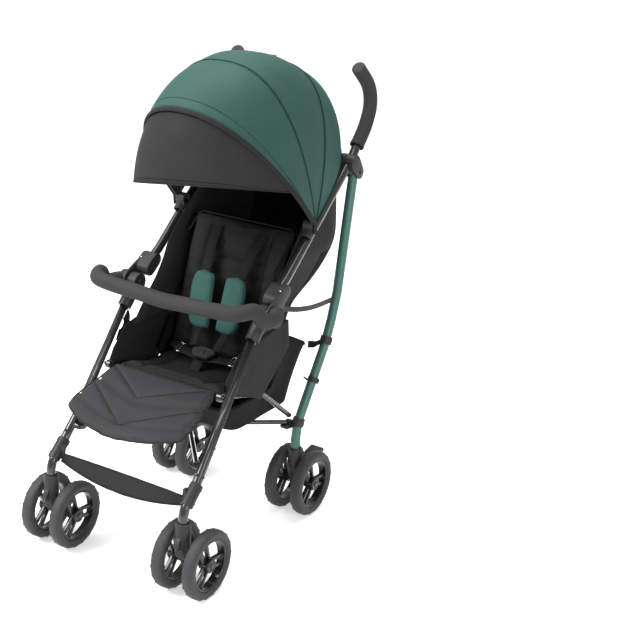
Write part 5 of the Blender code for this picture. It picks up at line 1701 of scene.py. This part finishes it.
    def make_buckle(self):
        y, z = BUCKLE_AT
        right = [(0.012, 0.024), (0.020, 0.021), (0.030, 0.012), (0.028, 0.004)]
        right += [(0.020, -0.012), (0.010, -0.014)]
        outline = right + [(-x, v) for x, v in reversed(right)]
        tilt = 0.2
        bm = bmesh.new()
        levels = ((0.96, -0.0025), (1.0, -0.0012), (1.0, 0.0030), (0.93, 0.0052))
        for (s0, h0), (s1, h1) in zip(levels, levels[1:]):
            low = [at(x * s0, y + v * 0.8 * s0, z + v * tilt + h0) for x, v in outline]
            high = [at(x * s1, y + v * 0.8 * s1, z + v * tilt + h1) for x, v in outline]
            block(bm, low, high)
        normal = Vector((0, -0.24, 0.97))
        place = at(0, y + 0.002, z + 0.0054)
        press_disc = [(0.0088, -0.001), (0.0088, 0.0004), (0.0078, 0.0010), (0.0072, 0.0004)]
        press_disc += [(0.0066, 0.0004), (0.0060, 0.0016), (0.0022, 0.0021)]
        lathe(bm, press_disc, place, normal, 32)
        for side in (1, -1):
            for far, long in ((0.024, 0.010), (0.0165, 0.007)):
                centre = at(side * far, y + 0.010, z + 0.0062)
                rib = ((-0.002, -long), (0.002, -long), (0.002, long * 0.7), (-0.002, long * 0.7))
                low = [centre + Vector((a, b, b * 0.24)) for a, b in rib]
                block(bm, low, [p + normal * 0.0012 for p in low])
        node = "harness_buckle"
        folds_flat(add_piece("harness_clasp", bm, "plastic", body_of(node), (node,), 35))


# Centre lines of the front and rear leg: x, y and z.
LEG_LINE = (
    (TUBE_X, -0.114, 0.481),
    (TUBE_X + 0.001, -0.186, 0.381),
    (TUBE_X + 0.003, -0.268, 0.283),
    (CASTER_X, -0.317, 0.228),
    (CASTER_X, -0.341, 0.206),
    (CASTER_X, -0.350, 0.186),
)
REAR_LINE = (
    (TUBE_X, 0.265, 0.655),
    (TUBE_X, 0.248, 0.530),
    (TUBE_X - 0.001, 0.210, 0.408),
    (TUBE_X - 0.002, 0.155, 0.308),
    (REAR_X + 0.001, 0.112, 0.235),
    (REAR_X, 0.100, 0.190),
)


def behind_tube(heading):
    """The direction square to a tube, towards the rear."""
    behind = Vector((0, -heading.z, heading.y))
    return -behind if behind.y < 0 else behind


def on_tube(line, side, z):
    """The centre of a falling tube at a height, and its direction there."""
    path = curve_through([at(side * x, y, height) for x, y, height in line], 10)
    for a, b in zip(path, path[1:]):
        if a.z >= z >= b.z:
            return a.lerp(b, (a.z - z) / (a.z - b.z)), (b - a).normalized()
    raise RuntimeError(f"no tube at height {z}")


class STROLLER_OT_hardware(StrollerOperator):
    """Adds the rivets, sleeves, clamps, side straps and knee flaps"""

    bl_idname = "stroller.hardware"
    bl_label = "Rivets, sleeves and clamps"

    def build(self, context):
        for side in (1, -1):
            self.make_leg_fittings(side)
            self.make_rear_fittings(side)
            self.make_side_strap(side)
            self.make_flap(side)

    def make_leg_fittings(self, side):
        which = word(side)
        body = f"leg_{which}"
        bm = bmesh.new()
        spot, heading = on_tube(LEG_LINE, side, 0.219)
        sleeve = [(0.0112, -0.030), (0.0136, -0.029), (0.0140, -0.026), (0.0134, 0.0)]
        sleeve += [(0.0140, 0.018), (0.0136, 0.0205), (0.0112, 0.0215)]
        lathe(bm, sleeve, spot, heading, 32, True)
        for height in (-0.021, 0.010):
            ring = [(0.0118, height - 0.002), (0.0146, height - 0.0016)]
            ring += [(0.0146, height + 0.0016), (0.0118, height + 0.002)]
            lathe(bm, ring, spot, heading, 32, True)
        wedge_low = [
            spot + Vector((-side * 0.011, dy, dz))
            for dy, dz in ((0.006, 0.016), (-0.002, 0.016), (-0.006, -0.010), (0.002, -0.014))
        ]
        block(bm, wedge_low, [p + Vector((-side * 0.007, 0.0, -0.002)) for p in wedge_low])
        add_piece(f"leg_sleeve_{which}", bm, "plastic", body, (), 40)
        bolts = bmesh.new()
        dome = [(0.0030, TUBE_R - 0.0010), (0.0030, TUBE_R + 0.0006), (0.0022, TUBE_R + 0.0015)]
        dome += [(0.0008, TUBE_R + 0.0019)]
        pin = [(0.0028, TUBE_R - 0.001), (0.0028, TUBE_R + 0.004), (0.0018, TUBE_R + 0.0052)]
        for z in (0.430, 0.300, 0.252):
            place, run = on_tube(LEG_LINE, side, z)
            lathe(bolts, dome, place, (side, 0, 0), 16)
            if z < 0.26:
                square = Vector((0, run.z, -run.y)) * (1 if run.z < 0 else -1)
                lathe(bolts, pin, place, square, 12)
        add_piece(f"leg_bolts_{which}", bolts, "dark_steel", body)
        heads = bmesh.new()
        rivet = [(0.0030, -0.001), (0.0030, 0.0010), (0.0020, 0.0018), (0.0006, 0.0021)]
        for y, z in ((-0.044, 0.566), (-0.030, 0.580)):
            place = at(side * (TUBE_X + 0.0150), y + 0.004, z - 0.004)
            lathe(heads, rivet, place, (side, 0, 0), 16)
        add_piece(f"arm_rivets_{which}", heads, "steel", f"frame_{which}")

    def make_rear_fittings(self, side):
        which = word(side)
        body = f"rear_{which}"
        bm = bmesh.new()
        boss = [(0.0050, 0.010), (0.0050, 0.0175), (0.0042, 0.0185)]
        clamps = ((0.392, 0.0138, 0.009), (0.310, 0.0132, 0.006), (0.222, 0.0136, 0.009))
        for z, radius, length in clamps:
            spot, heading = on_tube(REAR_LINE, side, z)
            profile = [(0.0114, -length), (radius, -length), (radius + 0.0004, 0.0)]
            profile += [(radius, length), (0.0114, length)]
            lathe(bm, profile, spot, heading, 32, True)
            lathe(bm, boss, spot, behind_tube(heading), 16)
        bracket = [at(side * 0.1560, 0.0985, 0.2320), at(side * 0.1600, 0.1060, 0.2290)]
        sweep(bm, bracket, circle(0.0068, 14), UP)
        add_piece(f"rear_leg_clamps_{which}", bm, "plastic", body, (), 40)
        heads = bmesh.new()
        rivet = [(0.0028, 0.0125), (0.0028, 0.0148), (0.0018, 0.0154), (0.0005, 0.0156)]
        spots = [on_tube(REAR_LINE, side, z)[0] for z in (0.392, 0.310)]
        for spot in (*spots, at(side * REAR_X, 0.100, 0.165)):
            lathe(heads, rivet, spot, (side, 0, 0), 16)
        add_piece(f"rear_leg_rivets_{which}", heads, "dark_steel", body)

    def make_side_strap(self, side):
        """Flat bar from the seat's side to the rear leg, baked in place and riding on no body."""
        which = word(side)
        drawn = [(0.1500, 0.030, 0.514), (0.1545, 0.055, 0.507), (0.1600, 0.085, 0.499)]
        drawn += [(0.1650, 0.125, 0.492), (0.1655, 0.170, 0.487), (0.1655, 0.222, 0.484)]
        route = [at(side * x, y, z) for x, y, z in drawn]
        path = evenly(curve_through(route, 8), 40)
        name, bar, facing = f"side_strap_{which}", tape(0.0120, 0.0032), Vector((side, 0, 0))
        strap = cord_piece(name, path, bar, facing, "plastic", None, sharp=40)
        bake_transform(strap)

    def make_flap(self, side):
        """Half round of elastic cloth behind the knee joint."""
        which = word(side)
        spot, heading = on_tube(LEG_LINE, side, 0.455)
        back = behind_tube(heading)
        grid = []
        for i in range(7):
            r = 0.010 + 0.020 * i / 6
            row = []
            for j in range(13):
                t = math.pi * (0.06 + 0.88 * j / 12)
                along = heading * (math.cos(t) * r * 1.25)
                row.append(spot + back * (math.sin(t) * r) - along + Vector((-side * 0.0095, 0, 0)))
            grid.append(row)
        name = f"knee_flap_{which}"
        flap = cloth_piece(name, grid, "binding", f"leg_{which}", CLOTH_T, offset=0.0)


class STROLLER_OT_stage(StrollerOperator):
    """Sets the pale floor, the soft lights and the camera"""

    bl_idname = "stroller.stage"
    bl_label = "Studio"

    def build(self, context):
        settings = context.scene.stroller_stage
        bm = bmesh.new()
        corners = [bm.verts.new((x, y, 0)) for x, y in ((-30, -30), (30, -30), (30, 30), (-30, 30))]
        bm.faces.new(corners)
        mesh = bpy.data.meshes.new("studio_floor")
        bm.to_mesh(mesh)
        bm.free()
        paper, tree, shader = start_material("studio_paper")
        place = tree.nodes.new("ShaderNodeTexCoord").outputs["Object"]
        tint = remap(tree, noise_of(tree, place, 3.0), 0.2, 0.8, 0.985, 1.0)
        floor_colour = mix_colour(tree, tint, (0.0, 0.0, 0.0, 1.0), (*settings.floor, 1.0))
        tree.links.new(floor_colour, shader.inputs["Base Color"])
        shader.inputs["Roughness"].default_value = 0.6
        shader.inputs["Emission Color"].default_value = (1.0, 1.0, 1.0, 1.0)
        shader.inputs["Emission Strength"].default_value = 0.43
        shader.inputs["Specular IOR Level"].default_value = 0.2
        mesh.materials.append(paper)
        floor = bpy.data.objects.new("studio_floor", mesh)
        context.scene.collection.objects.link(floor)
        world = bpy.data.worlds.new("studio_room")
        world.use_nodes = True
        world.node_tree.nodes["Background"].inputs[0].default_value = (1.0, 1.0, 1.0, 1.0)
        world.node_tree.nodes["Background"].inputs[1].default_value = settings.sky
        context.scene.world = world
        self.add_lamp("key_light", (-1.9, -2.3, 3.0), (0.0, 0.0, 0.5), 2.4, settings.key)
        self.add_lamp("top_light", (-0.3, 0.4, 3.4), (0.0, 0.0, 0.4), 3.2, settings.key * 0.55)
        self.add_lamp("fill_light", (2.6, -1.4, 1.4), (0.0, 0.0, 0.4), 1.8, settings.key * 0.16)
        self.set_camera(context.scene)
        context.scene.view_settings.view_transform = "Standard"

    def add_lamp(self, name, place, goal, size, power):
        lamp = bpy.data.lights.new(name, "AREA")
        lamp.shape = "DISK"
        lamp.size = size
        lamp.energy = power
        holder = bpy.data.objects.new(name, lamp)
        holder.location = place
        holder.rotation_euler = (Vector(goal) - Vector(place)).to_track_quat("-Z", "Y").to_euler()
        bpy.context.scene.collection.objects.link(holder)

    def set_camera(self, scene):
        """Camera from the front left, matched to the photograph's square frame."""
        lens = bpy.data.cameras.new("photo_camera")
        lens.sensor_width = 36
        lens.lens = PHOTO_FOCAL / PHOTO_SIDE * lens.sensor_width
        lens.shift_x = (PHOTO_SIDE / 2 - 217.1) / PHOTO_SIDE
        lens.shift_y = (315.6 - PHOTO_SIDE / 2) / PHOTO_SIDE
        azimuth, elevation, roll = (math.radians(d) for d in (34.36, 20.56, 1.41))
        distance = 3.056
        goal = Vector((0.020, -0.021 + BACK, 0.483))
        level = math.cos(elevation)
        ahead = Vector(
            (-math.sin(azimuth) * level, math.cos(azimuth) * level, -math.sin(elevation))
        )
        right = ahead.cross(UP).normalized()
        up = right.cross(ahead)
        turned_right = math.cos(roll) * right + math.sin(roll) * up
        turned_up = -math.sin(roll) * right + math.cos(roll) * up
        view = Matrix((turned_right, turned_up, -ahead)).transposed().to_4x4()
        view.translation = goal - distance * ahead
        camera = bpy.data.objects.new("photo_camera", lens)
        camera.matrix_world = view
        scene.collection.objects.link(camera)
        scene.camera = camera


OPERATORS = (
    STROLLER_OT_stage,
    STROLLER_OT_frame,
    STROLLER_OT_wheels,
    STROLLER_OT_grips,
    STROLLER_OT_canopy,
    STROLLER_OT_visor,
    STROLLER_OT_cover,
    STROLLER_OT_seat,
    STROLLER_OT_leg_rest,
    STROLLER_OT_basket,
    STROLLER_OT_foot_strap,
    STROLLER_OT_harness,
    STROLLER_OT_hardware,
)
SETTINGS = (ClothSettings, FrameSettings, WheelSettings, StageSettings)


class STROLLER_PT_parts(Panel):
    """Lists the stroller's pieces and their settings"""

    bl_label = "Umbrella stroller"
    bl_idname = "STROLLER_PT_parts"
    bl_space_type = "VIEW_3D"
    bl_region_type = "UI"
    bl_category = "Stroller"

    def draw(self, context):
        for group in ("stroller_cloth", "stroller_frame", "stroller_wheels", "stroller_stage"):
            settings = getattr(context.scene, group)
            for key in settings.bl_rna.properties.keys():
                if key not in ("rna_type", "name"):
                    self.layout.prop(settings, key)
        for operator in OPERATORS:
            self.layout.operator(operator.bl_idname)


def register():
    for group in SETTINGS:
        bpy.utils.register_class(group)
    bpy.types.Scene.stroller_cloth = PointerProperty(type=ClothSettings)
    bpy.types.Scene.stroller_frame = PointerProperty(type=FrameSettings)
    bpy.types.Scene.stroller_wheels = PointerProperty(type=WheelSettings)
    bpy.types.Scene.stroller_stage = PointerProperty(type=StageSettings)
    for operator in OPERATORS:
        bpy.utils.register_class(operator)
    bpy.utils.register_class(STROLLER_PT_parts)


def unregister():
    bpy.utils.unregister_class(STROLLER_PT_parts)
    for operator in reversed(OPERATORS):
        bpy.utils.unregister_class(operator)
    for group in ("stroller_cloth", "stroller_frame", "stroller_wheels", "stroller_stage"):
        delattr(bpy.types.Scene, group)
    for group in reversed(SETTINGS):
        bpy.utils.unregister_class(group)


def main():
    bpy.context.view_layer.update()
    register()
    for operator in OPERATORS:
        group, name = operator.bl_idname.split(".")
        getattr(getattr(bpy.ops, group), name)()


if __name__ == "__main__":
    main()
